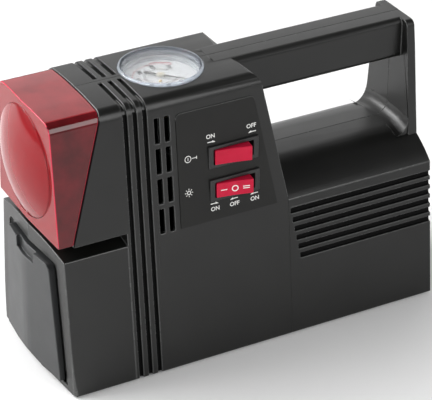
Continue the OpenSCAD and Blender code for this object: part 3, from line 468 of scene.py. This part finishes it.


# Bright red on the lens edges: a painted highlight.
lensEdgePaintedHighlight = glossPlastic("lensEdgeRedHighlight", (0.46, 0.006, 0.03), (0.54, 0.012, 0.045))
# Dark red on the lens side walls: painted shade, a shaded copy of the lens plastic.
lensWallPaintedShade = glossPlastic("lensWallRedShade", (0.06, 0.002, 0.003), (0.13, 0.004, 0.008),
                        rough=(0.03, 0.06), specular=0.44)
lensDome = clearPlastic("lensDomeRed", (0.27, 0.0015, 0.006), 0.1, clear=0.25, specular=0.22)
# Lighter red on the flat top of the lens: painted light, a lit copy of the lens plastic.
lensTopPaintedLight = glossPlastic("lensTopRedLit", (0.2, 0.005, 0.009), (0.29, 0.009, 0.015),
                         rough=(0.03, 0.06))
# Lighter satin plastic on rounded edges and the lower front corner: a painted highlight.
shellPaintedHighlight = mouldedPlastic("satinEdgePaintedHighlight", (0.04, 0.041, 0.04), (0.055, 0.056, 0.055),
                           rough=(0.24, 0.3), specular=0.55)
# Near-black plastic on groove floors, louvres and the gap round the lens: painted shade.
groovePaintedShade = mouldedPlastic("groovePaintedShade", (0.0012, 0.0012, 0.0012), (0.002, 0.002, 0.002),
                             rough=(0.6, 0.7), specular=0.1)
pieces = [
    # Housing and panel bevels take the lighter edge plastic, a painted highlight; the lens bevels
    # take bright red, also a painted highlight.
    roundedCopy("near_shell", "nearHousing", "housing", "shell_plastic", 0.5,
                reshape=lowerShelf, edgeFinishAndPaintedHighlight=shellPaintedHighlight),
    roundedCopy("far_shell", "farHousing", "housing", "shell_plastic", 0.5,
                reshape=lowerShelf, edgeFinishAndPaintedHighlight=shellPaintedHighlight),
    roundedCopy("storage_door", "storageDoor", "door", "door_plastic", 0.5),
    roundedCopy("switch_panel", "switchPanel", "housing", "panel_plastic", 0.3,
                edgeFinishAndPaintedHighlight=shellPaintedHighlight),
    roundedCopy("compressor_switch", "compressorBezel", "housing", "switch_plastic", 0.4),
    roundedCopy("light_switch", "lightBezel", "housing", "switch_plastic", 0.4),
    roundedCopy("compressor_rocker", "compressorRocker", "compressor_rocker", "rocker_red", 0.5),
    roundedCopy("light_rocker", "lightRocker", "light_rocker", "rocker_red", 0.5),
    roundedCopy("lamp_lens", "lampLens", "housing", "red_lens", 0.55, turn=40,
                edgeFinishAndPaintedHighlight=lensEdgePaintedHighlight),
    roundedCopy("lamp_reflector", "lampReflector", "housing", "mirror", 0.3, turn=50,
                edgeFinishAndPaintedHighlight=finishes["inner_plastic"]),
    roundedCopy("lamp_bulb", "lampBulb", "housing", "bulb_glass", 0.3, turn=60),
    roundedCopy("hinge_pin", "hingePin", "housing", "steel", 0.2, turn=50),
    roundedCopy("storage_tub", "storageTub", "housing", "inner_plastic", 0.5, turn=50),
    roundedCopy("cord_grommet", "cordGrommet", "housing", "rubber", 0.3, turn=50),
    roundedCopy("hose_outlet", "hoseOutlet", "housing", "brass", 0.2, turn=50),
]

named = {piece.name: piece for piece in pieces}


# Painted shade: the floors of the grooves and louvres and the gap round the lens are coloured near
# black. Painted highlight: the faces of the lower front corner take the lighter edge plastic.
def dressHousing(shell):
    shell.data.materials.append(groovePaintedShade)
    plain, paintedHighlight, paintedShade = range(3)
    low, high = housing["ribFloor"]
    topLow, topHigh = housing["topFloor"]
    seatFoot, seatTop = housing["seatHeights"]
    back, up, inward = housing["cornerBox"]
    for face in shell.data.polygons:
        x, y, z = (face.center - corner) / mm
        depth = halfWidth(z) - abs(y)
        inRib = any(a - 0.1 < x < b + 0.1 for a, b in housing["ribs"])
        inLouvre = x > housing["louvreFront"] and housing["louvreFoot"] < z < housing["louvreTop"]
        deepSide = low < depth < high and (inRib or inLouvre)
        deepTop = inRib and topLow < z < topHigh and abs(y) < housing["topHalf"]
        seatX = housing["seatFront"] + (z - seatFoot) * housing["seatSlope"]
        seat = (seatFoot < z < seatTop and abs(x - seatX) < housing["seatHalf"]
                and depth < housing["seatDepth"])
        facesCorner = min(abs(face.normal.x), abs(face.normal.y)) > 0.3
        if deepSide or deepTop or seat:
            face.material_index = paintedShade
        elif x < back and z < up and depth < inward and facesCorner:
            face.material_index = paintedHighlight
        elif abs(x - housing["louvreFront"]) < housing["blockBand"] and z < housing["blockTop"]:
            face.material_index = plain


for name in ("nearHousing", "farHousing"):
    dressHousing(named[name])

lamp = {
    "axisZ": 137,
    "domeEdge": 35.7,        # the dome and the foot of its curve end at this radius
    "top": 176,
    "foot": 98.4,
    "frontWall": 6.0,        # faces this far behind the front are its clear window
    "edgeBand": 2.3,         # only edges this close to the outside keep the painted highlight
    "bowlRim": 29.2,         # the reflector is metallised behind this
}


# Sorts the lens faces: bright edges are a painted highlight, the flat top takes the painted-light
# red and the side walls the painted-shade red; the front window and dome stay clear. The reflector
# takes black plastic in front of its metallised bowl.
def dressLamp(lens, reflector):
    for material in (lensWallPaintedShade, lensTopPaintedLight, lensDome):
        lens.data.materials.append(material)
    window, edge, wall, litTop, dome = range(5)
    for face in lens.data.polygons:
        x, y, z = (face.center - corner) / mm
        onDome = math.hypot(y, z - lamp["axisZ"]) < lamp["domeEdge"]
        depth = min(halfWidth(z) - abs(y), lamp["top"] - z, z - lamp["foot"])
        if face.material_index == edge and not onDome and depth < lamp["edgeBand"]:
            continue
        if x < lamp["frontWall"] and (onDome or abs(face.normal.x) > 0.5):
            face.material_index = dome if onDome else window
        else:
            face.material_index = litTop if face.normal.z > 0.97 else wall
    for face in reflector.data.polygons:
        if face.center.x < place(lamp["bowlRim"], 0, 0).x:
            face.material_index = 1


dressLamp(named["lampLens"], named["lampReflector"])
print("moulded pieces ready")

gauge = {
    "centre": place(85.6, 0, 170),      # on the dial's face
    "radius": 25.5,
    "wall": 1.8,
    "height": 8.0,
    "top": 1.1,
    "rimRound": 1.3,
    "rimBand": 1.6,                     # height of the rim's painted highlight
    "windowEdge": 6,                    # the flat window ends this far inside
    "innerRound": 0.8,
    "scaleStart": -50,                  # where the scale reads nothing, seen from above
    "scaleSweep": 270,
    "numbers": (0, 50, 100, 150, 200, 250, 300),
    "numberSize": 3.5,
    "numberBold": 0.13,
    "numberRadius": 13.4,
    "numberTurn": 85,
    "ink": 0.08,
    "lift": 0.02,                       # the marks lie this far above the face
    "ticks": (("dialTicks", 31, 9.4, 1.6, 0.5),         # count, radius, length, width
              ("dialLongTicks", 7, 9.7, 2.2, 0.8),
              ("dialOuterTicks", 16, 17.2, 1.3, 0.5)),
    "arcs": ((16.4, 16.7, 0, 270), (18.0, 18.7, 225, 268)),     # radii, first and last degree
    "arcSteps": 60,
    "needleAngle": -48,
    "needleHeights": (1.15, 1.5),
    "needle": ((16.7, 0.25), (2, 0.6), (0, 0.75), (-3, 0.75), (-6, 1.05), (-9.5, 1.15),
               (-10.6, 0.85)),          # distance from the hub, half width
    "stopAt": (-2.9, -5.4, 0.01),
}
stepGrey = glossPlastic("stepGrey", (0.3, 0.32, 0.35), (0.42, 0.45, 0.48))
hubPale = mouldedPlastic("hubPale", (0.55, 0.52, 0.42), (0.66, 0.62, 0.52), rough=(0.25, 0.35))


def buildCover():
    centre, outer, height = gauge["centre"], gauge["radius"], gauge["height"]
    inner, top = outer - gauge["wall"], height - gauge["top"]
    soft, small, window = gauge["rimRound"], gauge["innerRound"], gauge["windowEdge"]
    # A lighter top band on the clear rim is a painted highlight, and a darker side band is painted
    # shade.
    rimPaintedHighlight = clearPlastic("rimClearPaintedHighlight", (0.8, 0.86, 0.94), 0.03, clear=0.75, ripple=0)
    side = clearPlastic("sideClearPaintedShade", (0.42, 0.48, 0.57), 0.03, alpha=0.6, clear=0.6, ripple=0)
    cover = lathe("gaugeCover", [(outer, 0), (outer, height - soft)]
                  + arcPoints(outer - soft, height - soft, soft, 12, 90)
                  + [(outer - window, height), (0, height), (0, top), (inner - window, top)]
                  + arcPoints(inner - small, top - small, small, 90, 0) + [(inner, 0)],
                  centre, "housing", "clear_cover", finishes["clear_cover"], rimPaintedHighlight, side, steps=144)
    for face in cover.data.polygons:
        if (face.center - centre).to_2d().length > (inner - 0.3) * mm:
            onRim = face.center.z - centre.z > (height - gauge["rimBand"]) * mm
            face.material_index = 1 if onRim else 2
    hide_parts("gauge_cover")
    return cover


def buildGauge():
    centre, inner = gauge["centre"], gauge["radius"] - gauge["wall"]
    cover = buildCover()
    step = lathe("dialStep", [(inner - 0.1, 0.02), (inner - 0.1, 2.6), (inner - 0.5, 2.8),
                              (inner - 0.9, 2.6), (inner - 1.0, 1.5), (inner - 1.5, 1.4),
                              (inner - 1.9, 1.1), (inner - 2.0, 0.02)],
                 centre, "housing", "dial_white", stepGrey, steps=144)
    stop = lathe("stopPin", [(0, 0), (0.9, 0), (0.9, 0.5), (0.7, 0.7), (0, 0.7)],
                 centre + Vector(gauge["stopAt"]) * mm, "housing", "brass", steps=24)
    hub = lathe("needleHub", [(0, 1.0), (2.6, 1.0), (2.6, 1.7), (2.2, 2.1), (1.0, 2.3), (0, 2.3)],
                centre, "needle", "brass", hubPale, steps=48)
    half = gauge["needle"]
    outline = [half[0]] + [(x, -w) for x, w in half] + list(half[:0:-1])
    turn = Matrix.Translation(centre) @ Matrix.Rotation(math.radians(gauge["needleAngle"]), 4, "Z")
    needle = markPiece("gaugeNeedle", [(plate([outline], *gauge["needleHeights"]),
                                        turn @ Matrix.Scale(mm, 4))],
                       "needle", "needle_black", finishes["needle_black"])
    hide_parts("gauge_needle")
    return [cover, step, stop, hub, needle]


# Marks set round a circle: one box each, from the first angle clockwise to the last.
def ringTree(material):
    tree = bpy.data.node_groups.new("dialMarks", "GeometryNodeTree")
    face = tree.interface
    for name, kind in (("Geometry", "Geometry"), ("Count", "Int"), ("Radius", "Float"),
                       ("Start", "Float"), ("Sweep", "Float"), ("Size", "Vector"),
                       ("Centre", "Vector")):
        face.new_socket(name, in_out="INPUT", socket_type="NodeSocket" + kind)
    face.new_socket("Geometry", in_out="OUTPUT", socket_type="NodeSocketGeometry")
    link = tree.links.new
    given = addNode(tree, "NodeGroupInput").outputs
    line = addNode(tree, "GeometryNodeMeshLine")
    link(given["Count"], line.inputs["Count"])

    def maths(kind, first, second=None):
        node = addNode(tree, "ShaderNodeMath", operation=kind)
        for slot, value in enumerate((first, second)):
            if isinstance(value, (int, float)):
                node.inputs[slot].default_value = value
            elif value is not None:
                link(value, node.inputs[slot])
        return node.outputs[0]

    share = maths("DIVIDE", addNode(tree, "GeometryNodeInputIndex").outputs[0],
                  maths("SUBTRACT", given["Count"], 1))
    angle = maths("SUBTRACT", given["Start"], maths("MULTIPLY", given["Sweep"], share))
    at = addNode(tree, "ShaderNodeCombineXYZ")
    link(maths("MULTIPLY", maths("COSINE", angle), given["Radius"]), at.inputs["X"])
    link(maths("MULTIPLY", maths("SINE", angle), given["Radius"]), at.inputs["Y"])
    moved = addNode(tree, "GeometryNodeSetPosition")
    link(line.outputs["Mesh"], moved.inputs["Geometry"])
    link(at.outputs["Vector"], moved.inputs["Position"])
    box = addNode(tree, "GeometryNodeMeshCube")
    link(given["Size"], box.inputs["Size"])
    euler = addNode(tree, "ShaderNodeCombineXYZ")
    link(angle, euler.inputs["Z"])
    turned = addNode(tree, "FunctionNodeEulerToRotation")
    link(euler.outputs["Vector"], turned.inputs["Euler"])
    copies = addNode(tree, "GeometryNodeInstanceOnPoints")
    link(moved.outputs["Geometry"], copies.inputs["Points"])
    link(box.outputs["Mesh"], copies.inputs["Instance"])
    link(turned.outputs["Rotation"], copies.inputs["Rotation"])
    placed = addNode(tree, "GeometryNodeTransform")
    link(copies.outputs["Instances"], placed.inputs["Geometry"])
    link(given["Centre"], placed.inputs["Translation"])
    finishTree(tree, placed.outputs["Geometry"], material)
    return tree


def finishTree(tree, geometry, material):
    real = addNode(tree, "GeometryNodeRealizeInstances")
    tree.links.new(geometry, real.inputs["Geometry"])
    dressed = addNode(tree, "GeometryNodeSetMaterial")
    dressed.inputs["Material"].default_value = material
    tree.links.new(real.outputs["Geometry"], dressed.inputs["Geometry"])
    out = addNode(tree, "NodeGroupOutput")
    tree.links.new(dressed.outputs["Geometry"], out.inputs["Geometry"])


def runTree(name, tree, body, slot, material, mesh=None, **values):
    piece = newPiece(name, mesh or bpy.data.meshes.new(name), body, slot, material)
    modifier = piece.modifiers.new("nodes", "NODES")
    modifier.node_group = tree
    for item in tree.interface.items_tree:
        if item.in_out == "INPUT" and item.name in values:
            modifier[item.identifier] = values[item.name]
    applyModifiers(piece)
    return piece


# A narrow ring sector, as a row of small quads.
def arcQuads(low, high, first, last):
    start, steps = math.radians(gauge["scaleStart"]), gauge["arcSteps"]
    turns = [start - math.radians(first + (last - first) * k / steps) for k in range(steps + 1)]
    return [[(low * math.cos(b), low * math.sin(b)), (high * math.cos(b), high * math.sin(b)),
             (high * math.cos(a), high * math.sin(a)), (low * math.cos(a), low * math.sin(a))]
            for a, b in zip(turns, turns[1:])]


def buildDialMarks():
    centre, ink, lift = gauge["centre"], gauge["ink"], gauge["lift"]
    start, sweep = math.radians(gauge["scaleStart"]), math.radians(gauge["scaleSweep"])
    middle = centre + Vector((0, 0, ink / 2 + lift)) * mm
    flat = Matrix.Scale(mm, 4)
    built = [runTree(name, ringTree(markBlack), "housing", "needle_black", markBlack,
                     Count=count, Radius=radius * mm, Start=start, Sweep=sweep,
                     Size=(length * mm, width * mm, ink * mm), Centre=tuple(middle))
             for name, count, radius, length, width in gauge["ticks"]]
    upright = Matrix.Rotation(math.radians(gauge["numberTurn"]), 4, "Z")
    marks = []
    for i, number in enumerate(gauge["numbers"]):
        turn = start - sweep * i / (len(gauge["numbers"]) - 1)
        around = Vector((math.cos(turn), math.sin(turn), 0)) * gauge["numberRadius"] * mm
        marks.append((textPlate(str(number), gauge["numberSize"], ink, gauge["numberBold"]),
                      Matrix.Translation(middle + around) @ upright @ flat))
    redMarks = [(plate([quad], lift, ink), Matrix.Translation(centre) @ flat)
                for arc in gauge["arcs"] for quad in arcQuads(*arc)]
    built.append(markPiece("dialNumbers", marks, "housing", "needle_black", markBlack))
    built.append(markPiece("dialRedArc", redMarks, "housing", "rocker_red", markRed))
    return built


pieces += buildGauge() + buildDialMarks()
print("gauge ready")

panel = {
    "lean": 5.14,
    "proud": 0.52,        # the marks' lower face before the wall
    "ink": 0.06,
    "wordSize": 3.7,
    "wordBold": 0.07,
    "words": (("ON", 98.0, 145.2), ("OFF", 125.2, 145.4),       # word, x, z
              ("ON", 99.0, 98.4), ("OFF", 112.0, 98.3), ("ON", 125.7, 98.3)),
    "arrows": ((98.4, 141.7, 1), (125.6, 141.7, -1),            # x, z, way it points
               (98.7, 102.0, 1), (111.7, 101.9, -1), (125.4, 101.8, -1)),
    "arrowShaft": (-2.6, 0.6, -0.28, 0.28),
    "arrowBarb": ((0.6, -0.5), (2.6, -0.5), (2.0, 0.1), (0.6, 0.85)),
    "lampSign": (82.2, 113.0),
    "lampRing": (1.3, 0.8),
    "rays": 8,
    "rayReach": (1.75, 2.7),
    "rayHalf": 0.2,
    "pumpSign": (82.6, 134.4),
    "pumpRing": (2.2, 1.75),
    "pumpBars": ((-0.2, 0.2, -0.9, 0.9), (2.6, 5.4, -0.22, 0.22), (5.4, 5.9, -0.9, 0.9)),
}


# Turns a flat mark so that it lies on the leaning wall and reads from the switch side.
def onWall(x, z, proud):
    lean = math.radians(panel["lean"])
    out = Vector((0, -math.cos(lean), math.sin(lean)))
    up = Vector((0, math.sin(lean), math.cos(lean)))
    frameTurn = Matrix((Vector((1, 0, 0)), up, out)).transposed().to_4x4()
    spot = place(x, -halfWidth(z), z) + out * proud * mm
    return Matrix.Translation(spot) @ frameTurn @ Matrix.Scale(mm, 4)


def ringOutline(outer, inner, steps=28):
    quads = []
    for k in range(steps):
        a, b = 2 * math.pi * k / steps, 2 * math.pi * (k + 1) / steps
        quads.append([(inner * math.cos(a), inner * math.sin(a)),
                      (outer * math.cos(a), outer * math.sin(a)),
                      (outer * math.cos(b), outer * math.sin(b)),
                      (inner * math.cos(b), inner * math.sin(b))])
    return quads


def barOutline(x0, x1, y0, y1):
    return [(x0, y0), (x1, y0), (x1, y1), (x0, y1)]


# Short bars that point away from the middle.
def rayOutlines():
    near, far = panel["rayReach"]
    half, rays = panel["rayHalf"], []
    for k in range(panel["rays"]):
        turn = 2 * math.pi * k / panel["rays"]
        x, y = math.cos(turn), math.sin(turn)
        rays.append([(x * reach - y * side, y * reach + x * side)
                     for reach, side in ((near, half), (near, -half), (far, -half), (far, half))])
    return rays


def buildPanelMarks():
    ink, proud = panel["ink"], panel["proud"]
    marks = [(textPlate(word, panel["wordSize"], ink, panel["wordBold"]),
              onWall(x, z, proud + ink / 2)) for word, x, z in panel["words"]]
    for x, z, way in panel["arrows"]:
        shape = [[(way * px, py) for px, py in ring][::way]
                 for ring in (barOutline(*panel["arrowShaft"]), panel["arrowBarb"])]
        marks.append((plate(shape, 0, ink), onWall(x, z, proud)))
    lampSign = rayOutlines() + ringOutline(*panel["lampRing"])
    pumpSign = ringOutline(*panel["pumpRing"]) + [barOutline(*bar) for bar in panel["pumpBars"]]
    for sign, at in ((lampSign, panel["lampSign"]), (pumpSign, panel["pumpSign"])):
        marks.append((plate(sign, 0, ink), onWall(*at, proud)))
    return markPiece("panelMarks", marks, "housing", "dial_white", markWhite)


rocker = {
    "x": 112.5,
    "pivotBack": 5,
    "out": 8.4,
    "dip": 0.5,              # how far the middle lies below the two ends
    "half": 11.4,
    "tilt": 12,
    "lightZ": 110.6,
    "bezelHalf": 7.2,
    "bezelOut": 0.9,
    "ring": (2.1, 1.45),
    "barsOut": 6.9,          # from the middle to the bars of each end
    "sunk": 0.02,
    "bars": ((-1, ((-2, 2, -0.3, 0.3),)),
             (1, ((-2.1, 2.1, 0.35, 0.95), (-2.1, 2.1, -0.95, -0.35)))),
}


def buildRockerMarks():
    z, out, dip, half = (rocker[key] for key in ("lightZ", "out", "dip", "half"))
    face = -halfWidth(z - rocker["bezelHalf"]) - rocker["bezelOut"]
    turn = (Matrix.Translation(place(rocker["x"], face + rocker["pivotBack"], z))
            @ Matrix.Rotation(math.radians(-rocker["tilt"]), 4, "Z") @ Matrix.Scale(mm, 4))
    upright = Matrix.Rotation(math.radians(90), 4, "X")
    marks = [(plate(ringOutline(*rocker["ring"]), -rocker["sunk"], 0.1),
              turn @ Matrix.Translation((0, dip - out - 0.05, 0)) @ upright)]
    for way, bars in rocker["bars"]:
        lean = Matrix.Rotation(-way * math.atan2(dip, half), 4, "Z")
        rise = dip * (1 - rocker["barsOut"] / half)
        spot = Matrix.Translation((way * rocker["barsOut"], rise - out, 0))
        marks.append((plate([barOutline(*bar) for bar in bars], -rocker["sunk"], 0.05),
                      turn @ spot @ lean @ upright))
    return markPiece("rockerMarks", marks, "light_rocker", "dial_white", markWhite)


pieces += [buildPanelMarks(), buildRockerMarks()]
print("panel ready")

fasteners = {
    "screwRadius": 3.4,
    "screwHead": 2.4,
    "slotWide": 0.9,
    "slotLong": 4.6,
    "slotFloor": 0.42,       # share of the head's height
    "screws": ((90.0, 12, 9.0), (240.0, 12, 9.0), (240.0, 12, 84.0), (124.0, 12, 152.0),
               (47.0, 12, 165.0), (118.0, 12, 75.0), (190.0, 7.02, 163.75)),
    "footRadius": 6,
    "feet": ((18, 39.4), (18, -39.4), (235.5, 39.4), (235.5, -39.4)),
    "footHeight": 1.2,
}


# Copies of one pattern object on the points of a mesh.
def copyTree(pattern, material):
    tree = bpy.data.node_groups.new("copies", "GeometryNodeTree")
    tree.interface.new_socket("Geometry", in_out="INPUT", socket_type="NodeSocketGeometry")
    size = tree.interface.new_socket("Size", in_out="INPUT", socket_type="NodeSocketFloat")
    size.default_value = 1
    tree.interface.new_socket("Geometry", in_out="OUTPUT", socket_type="NodeSocketGeometry")
    given = addNode(tree, "NodeGroupInput").outputs
    source = addNode(tree, "GeometryNodeObjectInfo")
    source.inputs["Object"].default_value = pattern
    copies = addNode(tree, "GeometryNodeInstanceOnPoints")
    tree.links.new(given["Geometry"], copies.inputs["Points"])
    tree.links.new(given["Size"], copies.inputs["Scale"])
    tree.links.new(source.outputs["Geometry"], copies.inputs["Instance"])
    finishTree(tree, copies.outputs["Instances"], material)
    return tree


def crossSlot():
    long, wide = fasteners["slotLong"] / 2, fasteners["slotWide"] / 2
    high = fasteners["screwHead"]
    cross = [(long, wide), (wide, wide), (wide, long), (-wide, long), (-wide, wide), (-long, wide),
             (-long, -wide), (-wide, -wide), (-wide, -long), (wide, -long), (wide, -wide),
             (long, -wide)]
    points, faces = plate([cross[::-1]], high * fasteners["slotFloor"], high + 1)
    mesh = meshFrom("slotPattern", [Vector(p) * mm for p in points], faces)
    recalculate(mesh)
    return newPiece("slotPattern", mesh, "housing", "steel")


def screwHead():
    r, h = fasteners["screwRadius"], fasteners["screwHead"]
    head = lathe("screwPattern", [(0, 0), (r, 0), (r, h * 0.45), (r * 0.86, h * 0.8),
                                  (r * 0.55, h * 0.97), (0, h)], Vector((0, 0, 0)),
                 "housing", "steel", steps=40)
    cutter = crossSlot()
    cut = head.modifiers.new("slot", "BOOLEAN")
    cut.operation = "DIFFERENCE"
    cut.solver = "EXACT"
    cut.object = cutter
    applyModifiers(head)
    head.data.transform(Matrix.Rotation(math.radians(-90), 4, "X"))
    bpy.data.objects.remove(cutter)
    return head


def footPad():
    r, h = fasteners["footRadius"], fasteners["footHeight"]
    return lathe("footPattern", [(0, h), (r, h), (r, 0.35), (r - 0.12, 0.1), (r - 0.35, 0),
                                 (r * 0.62, 0), (r * 0.56, 0.25), (0, 0.25)], Vector((0, 0, 0)),
                 "housing", "rubber", steps=56)


# One pattern copied to each spot, in place of the node that holds them all.
def copiesAt(spots, pattern, name, node, slot):
    mesh = meshFrom(name + "Spots", spots, [])
    finish = finishes[slot]
    piece = runTree(name, copyTree(pattern, finish), "housing", slot, finish, mesh=mesh)
    bpy.data.objects.remove(pattern)
    softenEdges(piece.data)
    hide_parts(node)
    return piece


def buildFasteners():
    screws = copiesAt([place(*at) for at in fasteners["screws"]], screwHead(),
                      "housingScrews", "housing_screws", "steel")
    feet = copiesAt([place(x, y, -fasteners["footHeight"]) for x, y in fasteners["feet"]],
                    footPad(), "rubberFeet", "rubber_feet", "rubber")
    return [screws, feet]


pieces += buildFasteners()
print("screws and feet ready")

for piece in pieces:
    print(piece.name, len(piece.data.polygons), "faces")
    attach(piece, piece["body"])

studio = {
    "horizon": 0.85,            # strength of the surroundings low down and overhead
    "nearShare": 0.5,           # share of it that is left on the switch side
    "nearFade": (-0.75, -0.25),
    "overhead": 0.12,
    "fallStart": 0.56,          # height on the unit sphere where the dark ceiling begins
    "fallEnd": 0.8,
    "floorHalf": 6,
    "lightAim": (0, 0, 0.08),
    "lights": (("key", (-1.3, 0.9, 1.5), (1.6, 1.6), 46),       # place, size, watts
               ("strip", (0.6, -1.5, 1.02), (0.5, 1.2), 9),
               ("left", (-1.5, -0.75, 0.3), (0.6, 0.6), 9),
               ("ledge", (-1.15, 1.55, 1.05), (0.8, 0.5), 10),
               ("back", (1.0, 1.9, 1.25), (2, 1.2), 3.4)),
}


def setFloor():
    size = studio["floorHalf"]
    mesh = meshFrom("floor", [(-size, -size, 0), (size, -size, 0), (size, size, 0),
                              (-size, size, 0)], [(0, 1, 2, 3)])
    floor = bpy.data.objects.new("floor", mesh)
    collection.objects.link(floor)
    material, tree, shader = newMaterial("paleFloor")
    tree.links.new(ramp(tree, noiseOn(tree, 3, 2), (0.93, 0.93, 0.93), (0.96, 0.96, 0.96)),
                   shader.inputs["Base Color"])
    shader.inputs["Roughness"].default_value = 0.9
    shader.inputs["Specular IOR Level"].default_value = 0.1
    mesh.materials.append(material)


# Bright low down, darker overhead and on the switch side.
def setWorld():
    world = bpy.data.worlds.new("studio")
    bpy.context.scene.world = world
    world.use_nodes = True
    sky = world.node_tree
    coordinates = addNode(sky, "ShaderNodeTexCoord")
    split = addNode(sky, "ShaderNodeSeparateXYZ")
    sky.links.new(coordinates.outputs["Generated"], split.inputs["Vector"])
    both = addNode(sky, "ShaderNodeMath", operation="MULTIPLY")
    fades = (("Z", studio["fallStart"], studio["fallEnd"], studio["horizon"], studio["overhead"]),
             ("Y", *studio["nearFade"], studio["nearShare"], 1))
    for i, (axis, start, end, low, high) in enumerate(fades):
        fade = addNode(sky, "ShaderNodeMapRange")
        fade.inputs["From Min"].default_value = start
        fade.inputs["From Max"].default_value = end
        fade.inputs["To Min"].default_value = low
        fade.inputs["To Max"].default_value = high
        sky.links.new(split.outputs[axis], fade.inputs["Value"])
        sky.links.new(fade.outputs["Result"], both.inputs[i])
    background = sky.nodes["Background"]
    background.inputs["Color"].default_value = (1, 1, 1, 1)
    sky.links.new(both.outputs[0], background.inputs["Strength"])


def setLights():
    for name, at, sizes, power in studio["lights"]:
        light = bpy.data.lights.new(name, "AREA")
        light.shape = "RECTANGLE"
        light.size, light.size_y = sizes
        light.energy = power
        holder = bpy.data.objects.new(name, light)
        collection.objects.link(holder)
        holder.location = at
        aim = Vector(studio["lightAim"]) - Vector(at)
        holder.rotation_euler = aim.to_track_quat("-Z", "Y").to_euler()


view = {
    "lens": 188.2,
    "sensor": 36,
    "clip": (0.05, 20),
    "at": (-0.56725, -1.0598, 0.7737),
    "back": (-0.4102, -0.7621, 0.5009),     # from the object towards the camera
    "up": (0.2374, 0.4411, 0.8655),
}


def setCamera():
    camera = bpy.data.cameras.new("camera")
    camera.lens = view["lens"]
    camera.sensor_width = view["sensor"]
    camera.clip_start, camera.clip_end = view["clip"]
    holder = bpy.data.objects.new("camera", camera)
    collection.objects.link(holder)
    back = Vector(view["back"]).normalized()
    right = Vector(view["up"]).cross(back).normalized()
    turn = Matrix((right, back.cross(right), back)).transposed()
    holder.matrix_world = Matrix.Translation(view["at"]) @ turn.to_4x4()
    bpy.context.scene.camera = holder
    bpy.context.scene.view_settings.view_transform = "Standard"


setFloor()
setWorld()
setLights()
setCamera()
print("scene ready")
